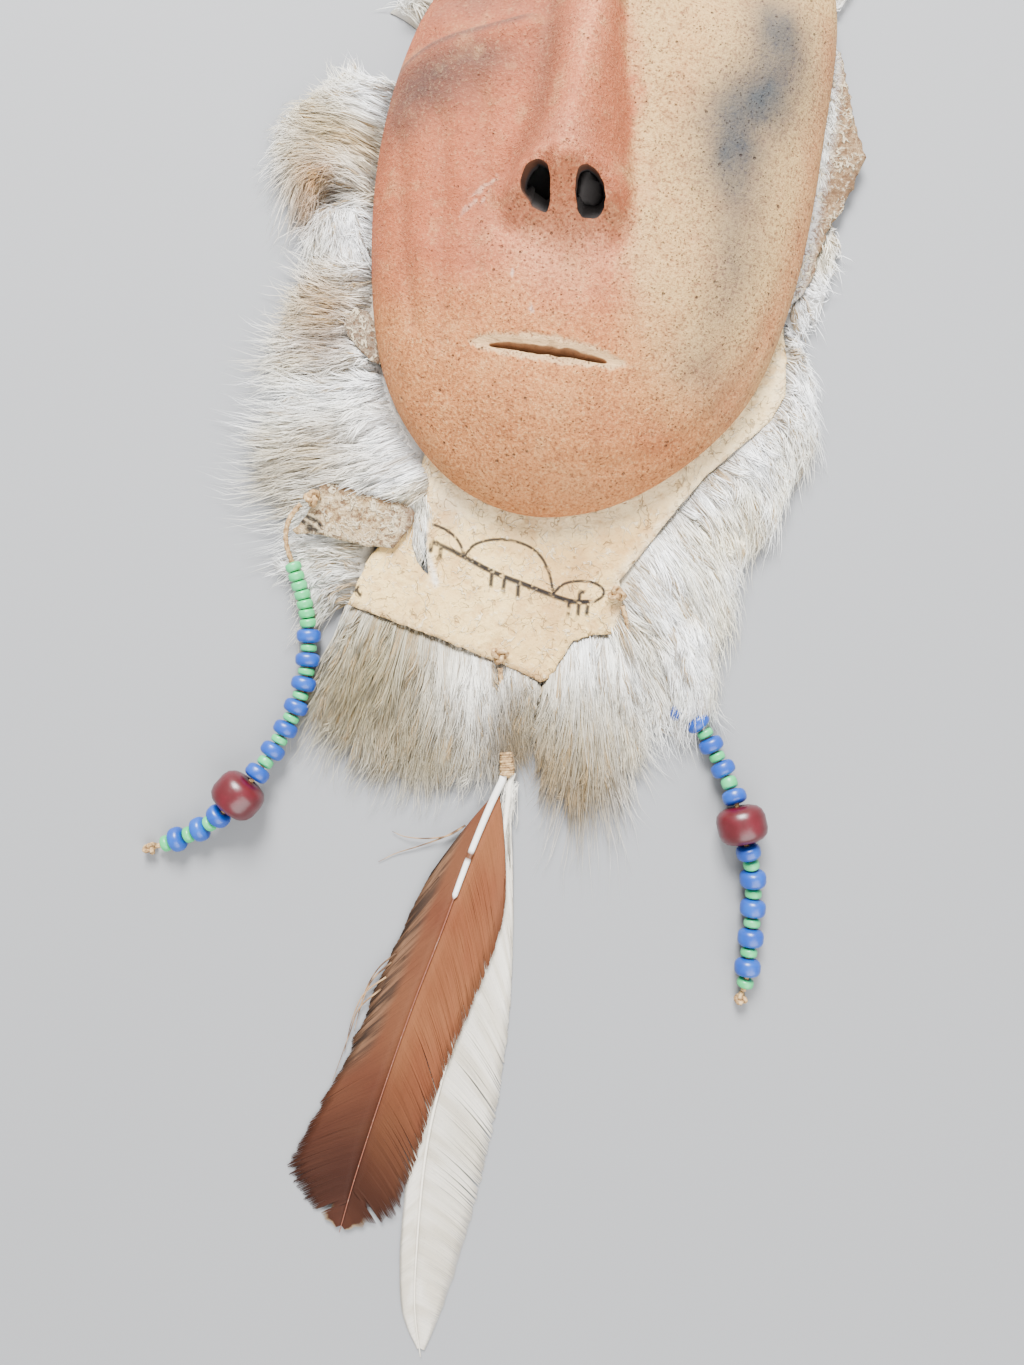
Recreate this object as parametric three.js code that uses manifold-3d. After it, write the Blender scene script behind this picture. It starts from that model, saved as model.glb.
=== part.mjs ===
// A clay wall mask dressed with rabbit pelts, two bead strings and two feathers.
// Millimetres, +Z up. It lies face up on the surface z = 0, with the chin towards -Y.
// All places are in one plan, and the finished group is moved so that the middle of the
// mask, pelts and feathers, seen from above, is the origin.

import * as THREE from 'three';
import { mergeVertices } from 'three/addons/utils/BufferGeometryUtils.js';
import Module from 'manifold-3d';

const wasm = await Module();
wasm.setup();

// Driving dimensions

const FOOTPRINT_CENTRE = [0.15, 7.12];
const GAP = 0.3;

// The clay shell
const CLAY_BASE = 6.3;
const CLAY_WALL = 6;
const CLAY_LIP = 3;
const DOME_RISE = 28;
const DOME_FALL = 2.4;
const DOME_ROUND = 0.6;
const MASK_OUTLINE = [
  [2, 22], [25.7, 26.8], [48, 42], [66.8, 66], [76, 100], [78.5, 150], [75.5, 196], [56, 232],
  [18, 248.6], [-18, 231], [-43, 192], [-56.5, 150], [-57.4, 104], [-45, 54.6], [-22, 29.6],
];
const MASK_SIDES = 42;
const OUTER_RINGS = [0.98, 0.92, 0.82, 0.68, 0.54, 0.41, 0.31, 0.23, 0.155, 0.085];
const INNER_SIDES = 24;
const INNER_RINGS = [0.95, 0.8, 0.55, 0.28];

// The nose, from its tip up to the bridge between the eyes
const NOSE_TIP = [-0.8, 114.5];
const NOSE_TOP = [5.5, 197];
const NOSE_BASE_Y = 98.5;
const NOSE_TIP_RISE = 19.5;
const NOSE_TOP_RISE = 2;
const NOSE_LEFT_WIDTH = 15;
const NOSE_RIGHT_WIDTH = 22;
const NOSE_RIGHT_WIDTH_AT_TOP = 8;
const NOSE_NARROW_Y = 166;
const NOSE_FADE = 14;
const NOSE_HOLLOW = 0.5;
const WINGS = [[-12, 107.5], [16.5, 108.5]];
const WING_RISE = 4.5;
const WING_RADIUS = 6.5;
const NOSTRIL_CENTRES = [[-7.2, 106.6, 46], [8.2, 106.9, 46.3]];
const NOSTRIL_HALF_WIDTH = 4.4;
const NOSTRIL_HALF_HEIGHT = 6.7;
const NOSTRIL_SLOPE = 0.37;

// Soft forms of the face
const CHIN_CENTRE = [3, 44];
const CHIN_RISE = 3;
const CHIN_RADIUS = 20;
const SOCKETS = [
  { centre: [-30, 178], half: [25, 20], depth: 5 },
  { centre: [40, 186], half: [25, 17], depth: 5 },
];

// Knife cuts, each with a wide sloping face that narrows to a slot through the wall
const MOUTH = { centre: [3.4, 64], half: 22.5, above: 5, below: 0.8, slotHalf: 13, slotHeight: 1.8 };
const EYES = [
  { centre: [-23, 179], half: 13.5, above: 3.6, below: 2.6, slotHalf: 11.5, slotHeight: 4 },
  { centre: [36.5, 183.5], half: 13.5, above: 3.6, below: 2.6, slotHalf: 11.5, slotHeight: 4 },
];
const CUT_DEPTH = 14;
const CUT_POINTS = 7;

// Pelts
const PELT_TOP = CLAY_BASE - GAP;
const TUCK = 12;
const RIM_STEP = 0.2;
const LOCK_SHORTER = 0.84;
const LOCK_VALLEY = 0.74;
const HIDE_TOP = 5.4;
const CHIN_HIDE = [
  [-48.2, -13.8], [-20, -19.6], [-2, -24], [8, -26.3], [15.8, -29], [19, -27.3], [24.5, -14.5],
  [30.2, -11.8], [36.5, -10.5], [36.1, 6.8], [51.7, 33.5], [68.4, 55], [76.1, 64.1], [79.6, 72.7],
  [77.9, 84.3], [75, 96.5], [66, 96.5], [58, 72], [44, 50], [20, 36], [-6, 34], [-30, 44],
  [-32.4, 29], [-29.9, 25.2], [-26.5, 17.3], [-25.9, 8.8], [-28.5, 2.5], [-30.9, 8], [-31.2, 16.6],
  [-35, 18], [-44, 1.2],
];
const CHIN_RIM = [4.22, 6.04];
const CHIN_FUR = [
  {
    roots: [[72, 95], [69, 80], [60, 60], [51, 40], [44, 20], [40, 4]],
    tips: [[85, 92], [91.8, 67], [87, 44], [82, 22], [73, 7], [67, -18], [54, -26]],
    count: 8, height: 8.6,
  },
  {
    roots: [[20, -16], [28, -11], [36, -7]],
    tips: [[15, -44], [21, -61], [29.5, -74.5], [40.5, -71], [47, -57], [46.5, -43]],
    count: 5, height: 7,
  },
  {
    roots: [[-42, -8], [-22, -13], [-3, -19]],
    tips: [[-53.5, -33], [-48, -53], [-36, -63], [-19, -67], [-1.5, -62]],
    count: 7, height: 5.2,
  },
  { roots: [[-38, 6], [-40, -10]], tips: [[-55, 5], [-54, -14]], count: 2, height: 4 },
  { roots: [[1, -20], [14, -24]], tips: [[3, -52], [14.5, -48]], count: 2, height: 2.3 },
];
const CHEEK_RIM = [2.36, 4.17];
const CHEEK_FUR = [
  {
    roots: [[-54, 146], [-55, 128], [-55, 110], [-55, 97]],
    tips: [[-58, 162], [-76, 154], [-90, 140], [-93.4, 122], [-89, 105], [-77, 92]],
    count: 7, height: 9,
  },
  {
    roots: [[-54, 98], [-54, 78], [-52, 60]],
    tips: [[-79, 95], [-90, 81], [-91, 64], [-79, 50]],
    count: 4, height: 8,
  },
  {
    roots: [[-50, 60], [-45, 42], [-38, 26]],
    tips: [[-84, 55], [-91, 39], [-88, 20], [-74, 9], [-58, 4]],
    count: 6, height: 9.6,
  },
];
const RIGHT_HIDE_TOP = 4.4;
const RIGHT_HIDE = [
  [79.1, 187.9], [82.2, 180], [85.8, 170.8], [89.8, 159.5], [93.4, 150.6], [89.9, 137.2], [85, 126.8],
  [83.9, 119.2], [82.1, 109.2], [78.8, 103.2], [75.5, 97.6], [66, 98], [66, 140], [64, 172],
];
const RIGHT_RIM = [-0.21, 0.74];
const RIGHT_MOUND = { centre: [79.5, 158], half: [5, 20], height: 5.9 };
const CROWN_RIM = [0.8, 2.28];
const CROWN_LOCKS = 9;
const CROWN_REACH = 15;
const CROWN_LEAN = 0.05;
const CROWN_HEIGHT = 8;

// The scrap of suede that carries the left string
const TAG_THICKNESS = 1.6;
const TAG_RISE = { at: -31, low: 5.8, slope: -0.048 };
const TAG = [
  [-61.4, 23.5], [-48.4, 21.7], [-33.9, 20.3], [-31.1, 18.2], [-31.5, 15], [-33.9, 9.6], [-36.5, 5.7],
  [-41.5, 5.2], [-50.8, 5.8], [-61, 6.5], [-66.9, 5.6], [-68.1, 7], [-64.7, 11.6], [-62.8, 18.6],
];

// Thongs, beads and knots
const THONG_DIAMETER = 1.6;
const THONG_SIDES = 8;
const THONG_STEP = 4.8;
const KNOT_SIDES = 6;
const BEAD_GAP = 0.22;
const BEND_ROOM = 1.9;
// A bead's section is given as shares of its radius and of half its length.
const ROUND = [[0.7, -1], [1, 0], [0.7, 1]];
const BARREL = [[0.6, -1], [1, -0.35], [1, 0.35], [0.6, 1]];
const STRAIGHT = [[1, -1], [1, 1]];
const BLUE = { radius: 4, sides: 7, hole: 1.3, section: ROUND, colour: 0x2f6fc8 };
const BROAD_BLUE = { radius: 4.2, sides: 7, hole: 1.3, section: ROUND, colour: 0x2f6fc8 };
const GREEN = { radius: 2.6, sides: 6, hole: 1.35, section: STRAIGHT, colour: 0x6ac08a };
const RED = { radius: 8.1, sides: 10, hole: 1.5, section: BARREL, colour: 0x7a2028 };
const LEFT_ROUTE = [
  [-66.4, 14.8, 11], [-68, 12.4, 10.9], [-69.6, 9, 10.2], [-70, 5, 9.4], [-69.2, 1, 8.4],
  [-67.6, -2.6, 7.4], [-65.9, -6, 6.9], [-64.3, -9.8, 6.3], [-62.4, -13.6, 5.6], [-60.9, -18, 4.9],
  [-59.7, -22.5, 4.3], [-58.8, -28, 4.1], [-58.4, -34, 4.1], [-58.5, -40.5, 4.1], [-59.7, -47.7, 4.1],
  [-62, -55.4, 4.4], [-64.6, -62.4, 5.3], [-66.7, -67.6, 6.7], [-69.1, -72.5, 8.2], [-72.8, -78, 8.2],
  [-76.5, -83.5, 8.2], [-79.1, -86.8, 7], [-81.8, -89.4, 5.8], [-85, -91.9, 4.8], [-91.2, -95.7, 4.1],
  [-95.8, -98.2, 3.5], [-97.6, -99, 3.1],
];
const LEFT_START = 19.9;
const LEFT_TOP_GREENS = 7;
const TOP_GREEN_LENGTH = 3.03;
const LEFT_BEADS = [
  [BLUE, 4.5], [GREEN, 2.5], [BLUE, 4.5], [GREEN, 2.5], [BLUE, 4.6], [GREEN, 2.5], [BLUE, 4.6],
  [GREEN, 2.5], [BLUE, 4.6], [GREEN, 2.6], [BLUE, 4.7], [GREEN, 3.1], [BLUE, 4.7], [RED, 12.2],
  [BLUE, 4.7], [GREEN, 2.7], [BLUE, 4.7], [GREEN, 2.8], [BLUE, 4.7], [GREEN, 2.7],
];
const RIGHT_ROUTE = [
  [37.8, -1.6, 7.4], [40.6, -7, 6], [43.6, -13.4, 4.6], [46.6, -20, 3.6], [50, -26.4, 3.4],
  [54.6, -29.8, 3.9], [60, -31, 4.1], [64.6, -32.4, 4.1], [68.2, -34.9, 4.1], [71.8, -39.6, 4.1],
  [76.8, -46.8, 4.9], [79.7, -51.6, 6.1], [81.8, -56, 7.5], [83, -58.8, 8.2], [85.3, -64.5, 8.2],
  [87.6, -70.2, 8.2], [89.4, -74.2, 7.5], [91.2, -78.4, 6], [92.4, -83, 5], [93.4, -90, 4.4],
  [94.1, -98, 4.4], [94.3, -106, 4.4], [94.7, -112, 4.4], [94.6, -116.9, 3.2],
];
const RIGHT_START = 37.7;
const RIGHT_BEADS = [
  [BLUE, 4.5], [GREEN, 2], [BLUE, 4.6], [GREEN, 2.7], [BLUE, 4.7], [GREEN, 3], [BLUE, 4.8],
  [GREEN, 4], [BLUE, 4.7], [RED, 12], [BLUE, 4.8], [GREEN, 3], [BROAD_BLUE, 5.8], [GREEN, 3],
  [BROAD_BLUE, 5.8], [GREEN, 3], [BROAD_BLUE, 5.9], [GREEN, 3], [BROAD_BLUE, 5.8], [GREEN, 2.9],
];
const FEATHER_ROUTE = [
  [2.6, -26.6, 7], [4, -33, 5.9], [5.5, -39.5, 4.8], [6.9, -45.5, 3.8], [7.9, -49.8, 3.2], [8.3, -51.8, 3],
];
const TAG_KNOT = { centre: [-63.2, 17.2, 11.3], half: [3.2, 3.6, 2] };
const HIDE_KNOT = { centre: [35.6, 2, 7.9], half: [3.6, 3.2, 2.1] };
const FEATHER_KNOT = { centre: [1.8, -22.6, 8], half: [3.6, 3.4, 2.2] };
const LEFT_END_KNOT = { centre: [-100, -100.2, 2.4], half: [2.5, 2.3, 2.3] };
const RIGHT_END_KNOT = { centre: [94.4, -119.8, 2.5], half: [2.3, 2.5, 2.3] };
const BINDING = { centre: [9.3, -56.6, 3], radius: 2.5, length: 8.6, wraps: 3 };

// Feathers, each from its quill to its tip
const VANE_HALF_THICKNESS = 0.35;
const RACHIS_RISE = 0.9;
const FEATHER_STATIONS = 11;
const RED_FEATHER = {
  left: [
    [7.9, -62, 3], [2, -73, 2.6], [-7, -89, 2], [-15.4, -112, 1.4], [-22.6, -138, 1], [-29.5, -163, 0.8],
    [-39.9, -194, 0.7], [-35.5, -205.5, 0.6],
  ],
  rachis: [
    [8.5, -62, 3], [5.8, -71, 2.8], [1.6, -88, 2.6], [-3.6, -113, 2.5], [-8.8, -136, 2.4],
    [-14, -163, 2.3], [-19.5, -196, 2], [-21.7, -214.6, 1.6],
  ],
  right: [
    [9.1, -62, 3], [10.5, -73, 2.8], [14.6, -90, 2.7], [14.6, -112, 2.6], [9.4, -135, 2.5],
    [2.9, -162, 2.4], [-1.6, -190, 2.1], [-5.4, -207.6, 1.8],
  ],
};
const WHITE_FEATHER = {
  left: [
    [10.5, -62.2, 2.4], [8.6, -76, 1.2], [4.6, -105, 0.7], [0.6, -140, 0.7], [-2.8, -178, 0.7],
    [-1.8, -215, 0.7], [2.2, -237, 0.7], [9.4, -248.8, 0.7],
  ],
  rachis: [
    [11.1, -62.2, 2.4], [11.4, -76, 1.2], [10.4, -105, 0.8], [6, -140, 0.8], [2, -178, 0.8],
    [3.6, -215, 0.8], [6, -235, 0.8], [9.9, -249.2, 0.7],
  ],
  right: [
    [11.7, -62.2, 2.4], [13.4, -78, 1.2], [18.6, -106, 0.7], [22.2, -142, 0.7], [21.6, -180, 0.7],
    [17.6, -216, 0.7], [14.4, -234, 0.7], [10.4, -248.8, 0.7],
  ],
};
const FRINGE_NOTCHES = [0.1, 0.26, 0.42, 0.58, 0.74, 0.9];
const FRINGE_DEPTH = 7;

// Colours
const CLAY_COLOUR = 0xd69a70;
const FUR_COLOUR = 0xe6e2d6;
const HIDE_COLOUR = 0xdcc29a;
const SUEDE_COLOUR = 0xc8ab84;
const THONG_COLOUR = 0xb59468;
const RUSTY_COLOUR = 0x9a5a3a;
const WHITE_COLOUR = 0xe4dfd4;

// Helpers

const lerp = (a, b, k) => a + (b - a) * k;
const clamp = (value) => Math.min(1, Math.max(0, value));
const smooth = (k) => clamp(k) ** 2 * (3 - 2 * clamp(k));
const bump = (x, y, [cx, cy], radius) => Math.exp(-((x - cx) ** 2 + (y - cy) ** 2) / (radius * radius));
const point = (x, y, z) => new THREE.Vector3(x, y, z);

function solidFrom(geometry) {
  const bare = geometry.clone();
  bare.deleteAttribute('normal');
  bare.deleteAttribute('uv');
  const merged = mergeVertices(bare, 1e-4);
  return new wasm.Manifold(new wasm.Mesh({
    numProp: 3,
    vertProperties: new Float32Array(merged.attributes.position.array),
    triVerts: new Uint32Array(merged.index.array),
  }));
}

function geometryFrom(solid) {
  const { vertProperties, triVerts } = solid.getMesh();
  const geometry = new THREE.BufferGeometry();
  geometry.setAttribute('position', new THREE.BufferAttribute(new Float32Array(vertProperties), 3));
  geometry.setIndex(new THREE.BufferAttribute(new Uint32Array(triVerts), 1));
  const shaded = geometry.toNonIndexed();
  shaded.computeVertexNormals();
  return shaded;
}

const joined = (solids) => solids.reduce((whole, next) => whole.add(next));

// A closed solid through rings of equal count, with a fan over each end.
function loft(rings) {
  const count = rings[0].length;
  const corners = rings.flat();
  const ends = [rings[0], rings[rings.length - 1]].map((ring) => {
    const middle = ring.reduce((sum, corner) => sum.add(corner), point(0, 0, 0));
    return middle.divideScalar(count);
  });
  const faces = [];
  const last = (rings.length - 1) * count;
  for (let side = 0; side < count; side += 1) {
    const next = (side + 1) % count;
    for (let row = 0; row < rings.length - 1; row += 1) {
      const a = row * count + side;
      const b = row * count + next;
      faces.push([a, b, b + count], [a, b + count, a + count]);
    }
    faces.push([corners.length, next, side], [corners.length + 1, last + side, last + next]);
  }
  const geometry = new THREE.BufferGeometry().setFromPoints([...corners, ...ends]);
  geometry.setIndex(faces.flat());
  return outwards(geometry);
}

// The same closed surface with its faces pointing out.
function outwards(geometry) {
  const index = geometry.index.array;
  const corner = (at) => new THREE.Vector3().fromBufferAttribute(geometry.attributes.position, index[at]);
  let volume = 0;
  for (let face = 0; face < index.length; face += 3) {
    volume += corner(face).dot(corner(face + 1).cross(corner(face + 2)));
  }
  if (volume < 0) {
    geometry.setIndex([...index].reverse());
  }
  return geometry;
}

function closedCurve(points) {
  return new THREE.CatmullRomCurve3(points.map(([x, y]) => point(x, y, 0)), true, 'centripetal');
}

function openCurve(points) {
  return new THREE.CatmullRomCurve3(points.map(([x, y, z]) => point(x, y, z)), false, 'centripetal');
}

// An upright block with a flat outline.
function block(points, low, high) {
  const shape = new THREE.Shape(points.map(([x, y]) => new THREE.Vector2(x, y)));
  const geometry = new THREE.ExtrudeGeometry(shape, { depth: high - low, bevelEnabled: false });
  return solidFrom(geometry.translate(0, 0, low));
}

// The clay shell

// The outline as a distance from the tip of the nose in each direction.
const outlineByAngle = closedCurve(MASK_OUTLINE).getPoints(720).map((corner) => {
  const x = corner.x - NOSE_TIP[0];
  const y = corner.y - NOSE_TIP[1];
  return [Math.atan2(y, x), Math.hypot(x, y)];
}).sort((a, b) => a[0] - b[0]);

function outlineReach(angle) {
  const turned = Math.atan2(Math.sin(angle), Math.cos(angle));
  const after = outlineByAngle.findIndex(([at]) => at >= turned);
  const high = outlineByAngle[Math.max(after, 0)];
  const low = outlineByAngle[after > 0 ? after - 1 : outlineByAngle.length - 1];
  if (after <= 0) {
    return low[1];
  }
  return lerp(low[1], high[1], (turned - low[0]) / Math.max(high[0] - low[0], 1e-9));
}

function rimPoint(angle, inset, z) {
  const reach = outlineReach(angle) - inset;
  return point(NOSE_TIP[0] + reach * Math.cos(angle), NOSE_TIP[1] + reach * Math.sin(angle), z);
}

function noseRise(x, y) {
  const along = (y - NOSE_TIP[1]) / (NOSE_TOP[1] - NOSE_TIP[1]);
  const crest = lerp(NOSE_TIP[0], NOSE_TOP[0], along);
  const narrow = clamp((y - NOSE_TIP[1]) / (NOSE_NARROW_Y - NOSE_TIP[1]));
  const rightWidth = lerp(NOSE_RIGHT_WIDTH, NOSE_RIGHT_WIDTH_AT_TOP, narrow);
  const width = x < crest ? NOSE_LEFT_WIDTH : rightWidth;
  const aside = Math.abs(x - crest) / width;
  if (aside >= 1) {
    return 0;
  }
  const rise = lerp(NOSE_TIP_RISE, NOSE_TOP_RISE, clamp(along));
  const under = smooth((y - NOSE_BASE_Y) / (NOSE_TIP[1] - NOSE_BASE_Y));
  const over = 1 - smooth((y - NOSE_TOP[1]) / NOSE_FADE);
  return rise * under * over * (1 - aside ** 1.5) ** 1.3;
}

function socketDepth(x, y) {
  return SOCKETS.reduce((sum, { centre, half, depth }) => {
    const away = ((x - centre[0]) / half[0]) ** 2 + ((y - centre[1]) / half[1]) ** 2;
    return sum + depth * Math.max(0, 1 - away) ** 1.5;
  }, 0);
}

function faceRelief(x, y) {
  const wings = WINGS.reduce((sum, centre) => sum + WING_RISE * bump(x, y, centre, WING_RADIUS), 0);
  const chin = CHIN_RISE * bump(x, y, CHIN_CENTRE, CHIN_RADIUS);
  return wings + chin - socketDepth(x, y);
}

function domeRise(share) {
  return Math.max(0, 1 - share ** DOME_FALL) ** DOME_ROUND;
}

function outerShell() {
  const rings = [
    { inset: 1.2, z: CLAY_BASE },
    { inset: 0.2, z: CLAY_BASE + 1 },
    { inset: 0, z: CLAY_BASE + CLAY_LIP },
  ].map(({ inset, z }) => polarRing(MASK_SIDES, (angle) => rimPoint(angle, inset, z)));
  for (const share of OUTER_RINGS) {
    rings.push(polarRing(MASK_SIDES, (angle) => {
      const spot = rimPoint(angle, outlineReach(angle) * (1 - share), 0);
      const dome = CLAY_BASE + CLAY_LIP + DOME_RISE * domeRise(share);
      spot.z = dome + faceRelief(spot.x, spot.y) + noseRise(spot.x, spot.y);
      return spot;
    }));
  }
  return solidFrom(loft(rings));
}

function polarRing(sides, place) {
  return Array.from({ length: sides }, (_, side) => place((side / sides) * 2 * Math.PI));
}

function innerHollow() {
  const rings = [CLAY_BASE - 3, CLAY_BASE + 0.5].map((z) => (
    polarRing(INNER_SIDES, (angle) => rimPoint(angle, CLAY_WALL + 0.5, z))
  ));
  const top = CLAY_LIP + DOME_RISE - CLAY_WALL;
  for (const share of INNER_RINGS) {
    rings.push(polarRing(INNER_SIDES, (angle) => {
      const reach = outlineReach(angle);
      const spot = rimPoint(angle, reach - share * (reach - CLAY_WALL - 0.5), 0);
      const pressed = NOSE_HOLLOW * noseRise(spot.x, spot.y) - socketDepth(spot.x, spot.y);
      spot.z = CLAY_BASE + top * domeRise(share) + pressed;
      return spot;
    }));
  }
  return solidFrom(loft(rings));
}

function clayTop(x, y) {
  const away = Math.hypot(x - NOSE_TIP[0], y - NOSE_TIP[1]);
  const share = away / outlineReach(Math.atan2(y - NOSE_TIP[1], x - NOSE_TIP[0]));
  return CLAY_BASE + CLAY_LIP + DOME_RISE * domeRise(share) + faceRelief(x, y) + noseRise(x, y);
}

// The tool that a knife cut takes away: a lens at the surface, a narrow slot below.
function knifeCut({ centre, half, above, below, slotHalf, slotHeight }) {
  const surface = clayTop(...centre);
  const lens = (reach, up, down, z) => {
    const ring = [];
    for (let step = 0; step < 2 * CUT_POINTS; step += 1) {
      const angle = (step / CUT_POINTS) * Math.PI;
      const rise = Math.sin(angle) > 0 ? up : down;
      ring.push(point(centre[0] + reach * Math.cos(angle), centre[1] + rise * Math.sin(angle), z));
    }
    return ring;
  };
  return solidFrom(loft([
    lens(half, above, below, surface + 1.5),
    lens(half * 0.96, above * 0.8, below, surface - 0.5),
    lens(slotHalf, slotHeight / 2, slotHeight / 2, surface - 5),
    lens(slotHalf, slotHeight / 2, slotHeight / 2, surface - CUT_DEPTH),
  ]));
}

function nostril([x, y, z]) {
  const axis = point(0, NOSTRIL_SLOPE, -1).normalize();
  const up = point(0, 1, NOSTRIL_SLOPE).normalize();
  const ring = (along) => polarRing(12, (angle) => point(x, y, z)
    .addScaledVector(axis, along)
    .addScaledVector(point(1, 0, 0), NOSTRIL_HALF_WIDTH * Math.cos(angle))
    .addScaledVector(up, NOSTRIL_HALF_HEIGHT * Math.sin(angle)));
  return solidFrom(loft([ring(-14), ring(22)]));
}

function clayMask() {
  const cuts = [innerHollow(), knifeCut(MOUTH), ...EYES.map(knifeCut), ...NOSTRIL_CENTRES.map(nostril)];
  return cuts.reduce((clay, cut) => clay.subtract(cut), outerShell());
}

// Pelts

// A strip that follows the rim of the clay from one angle to another.
function rimStrip(from, to, inside, outside, low, high) {
  const steps = Math.max(3, Math.round(Math.abs(to - from) / RIM_STEP));
  const angles = Array.from({ length: steps + 1 }, (_, step) => lerp(from, to, step / steps));
  const outer = angles.map((angle) => rimPoint(angle, -outside, 0));
  const inner = angles.map((angle) => rimPoint(angle, inside, 0)).reverse();
  return block([...outer, ...inner].map(({ x, y }) => [x, y]), low, high);
}

// A soft mound over an oval.
function mound([x, y], [halfX, halfY], base, height) {
  const levels = [[0.9, 0], [1, 0.3], [0.88, 0.72], [0.5, 1]];
  return solidFrom(loft(levels.map(([size, up]) => polarRing(12, (angle) => (
    point(x + size * halfX * Math.cos(angle), y + size * halfY * Math.sin(angle), base + up * height)
  )))));
}

// A closed slab between an upper and a lower grid of points with the same rows and columns.
function slab(upper, lower) {
  const rows = upper.length;
  const columns = upper[0].length;
  const corners = [...upper.flat(), ...lower.flat()];
  const under = rows * columns;
  const at = (row, column) => row * columns + column;
  const index = [];
  const quad = (a, b, c, d) => index.push(a, b, c, a, c, d);
  for (let row = 0; row < rows - 1; row += 1) {
    for (let column = 0; column < columns - 1; column += 1) {
      const [a, b, c, d] = [at(row, column), at(row, column + 1), at(row + 1, column + 1), at(row + 1, column)];
      quad(a, b, c, d);
      quad(under + d, under + c, under + b, under + a);
    }
    const [first, last] = [at(row, 0), at(row, columns - 1)];
    quad(first, first + columns, under + first + columns, under + first);
    quad(last + columns, last, under + last, under + last + columns);
  }
  for (let column = 0; column < columns - 1; column += 1) {
    const [first, last] = [at(0, column), at(rows - 1, column)];
    quad(first + 1, first, under + first, under + first + 1);
    quad(last, last + 1, under + last + 1, under + last);
  }
  const geometry = new THREE.BufferGeometry().setFromPoints(corners);
  geometry.setIndex(index);
  return outwards(geometry);
}

// Fur combed from its roots to its tips: a crest for each lock, with a shorter and lower
// valley on either side.
function comb(rootAt, tipAt, count, height) {
  const stations = [[0, 0.8], [0.35, 1], [0.76, 0.68], [1, 0.1]];
  const columns = Array.from({ length: 2 * count + 1 }, (_, column) => column / (2 * count));
  const upper = stations.map(([along, tall]) => columns.map((share, column) => {
    const crest = column % 2 === 1;
    const spot = rootAt(share).lerp(tipAt(share), along * (crest ? 1 : LOCK_SHORTER));
    const side = Math.min(share, 1 - share) === 0 ? 0.4 : 1;
    spot.z = Math.max(0.3, height * tall * side * (crest ? 1 : LOCK_VALLEY));
    return spot;
  }));
  const lower = upper.map((row) => row.map((spot) => spot.clone().setZ(0)));
  return solidFrom(slab(upper, lower));
}

function furOf(rows) {
  return rows.map(({ roots, tips, count, height }) => {
    const [from, to] = [roots, tips].map((line) => openCurve(line.map(([x, y]) => [x, y, 0])));
    return comb((share) => from.getPoint(share), (share) => to.getPoint(share), count, height);
  });
}

// The space that must stay clear for the clay, with its gap all round.
const clayClearance = solidFrom(loft([PELT_TOP, 60].map((z) => (
  polarRing(MASK_SIDES, (angle) => rimPoint(angle, -2 * GAP, z))
))));

const cleared = (pelt) => pelt.subtract(clayClearance).subtract(tagClearance()).subtract(stringClearance);

function chinPelt() {
  return cleared(joined([
    block(CHIN_HIDE, 0, HIDE_TOP),
    rimStrip(...CHIN_RIM, TUCK, -1, 0, PELT_TOP),
    ...furOf(CHIN_FUR),
  ]));
}

function cheekPelt() {
  return cleared(joined([
    rimStrip(...CHEEK_RIM, TUCK, 6, 0, PELT_TOP),
    ...furOf(CHEEK_FUR),
  ]));
}

function rightPelt() {
  return cleared(joined([
    block(RIGHT_HIDE, 0, RIGHT_HIDE_TOP),
    rimStrip(...RIGHT_RIM, TUCK, -1, 0, PELT_TOP),
    mound(RIGHT_MOUND.centre, RIGHT_MOUND.half, 0, RIGHT_MOUND.height),
  ]));
}

function crownPelt() {
  const angleAt = (share) => lerp(CROWN_RIM[0], CROWN_RIM[1], share);
  const rootAt = (share) => rimPoint(angleAt(share), 3, 0);
  const tipAt = (share) => rimPoint(angleAt(share) + CROWN_LEAN, -CROWN_REACH, 0);
  return cleared(joined([
    rimStrip(...CROWN_RIM, TUCK, 1, 0, PELT_TOP),
    comb(rootAt, tipAt, CROWN_LOCKS, CROWN_HEIGHT),
  ]));
}

// The tag slopes from the fur down to the chin hide.
function tagSlab(low, high, grow) {
  const middle = [-50, 13.5];
  const outline = TAG.map(([x, y]) => [
    middle[0] + (x - middle[0]) * (1 + grow / 17),
    middle[1] + (y - middle[1]) * (1 + grow / 8),
  ]);
  const shape = new THREE.Shape(outline.map(([x, y]) => new THREE.Vector2(x, y)));
  const geometry = new THREE.ExtrudeGeometry(shape, { depth: high - low, bevelEnabled: false });
  const { slope, at } = TAG_RISE;
  const sloped = new THREE.Matrix4().set(1, 0, 0, 0, 0, 1, 0, 0, slope, 0, 1, low - slope * at, 0, 0, 0, 1);
  return solidFrom(geometry.applyMatrix4(sloped));
}

function tagClearance() {
  return tagSlab(TAG_RISE.low - GAP, TAG_RISE.low + 40, 2 * GAP);
}

// Feathers

// A vane with a raised shaft, lofted between its two edges.
function feather({ left, rachis, right }) {
  const [leftEdge, shaft, rightEdge] = [left, rachis, right].map(openCurve);
  const rings = Array.from({ length: FEATHER_STATIONS + 1 }, (_, index) => {
    const share = index / FEATHER_STATIONS;
    const [a, middle, b] = [leftEdge, shaft, rightEdge].map((curve) => curve.getPoint(share));
    const raised = (spot, up) => spot.clone().add(point(0, 0, up));
    return [
      a,
      raised(middle.clone().lerp(a, 0.3), VANE_HALF_THICKNESS),
      raised(middle, RACHIS_RISE * (1 - 0.6 * share)),
      raised(middle.clone().lerp(b, 0.3), VANE_HALF_THICKNESS),
      b,
      raised(middle, -VANE_HALF_THICKNESS),
    ];
  });
  return solidFrom(loft(rings));
}

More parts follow.
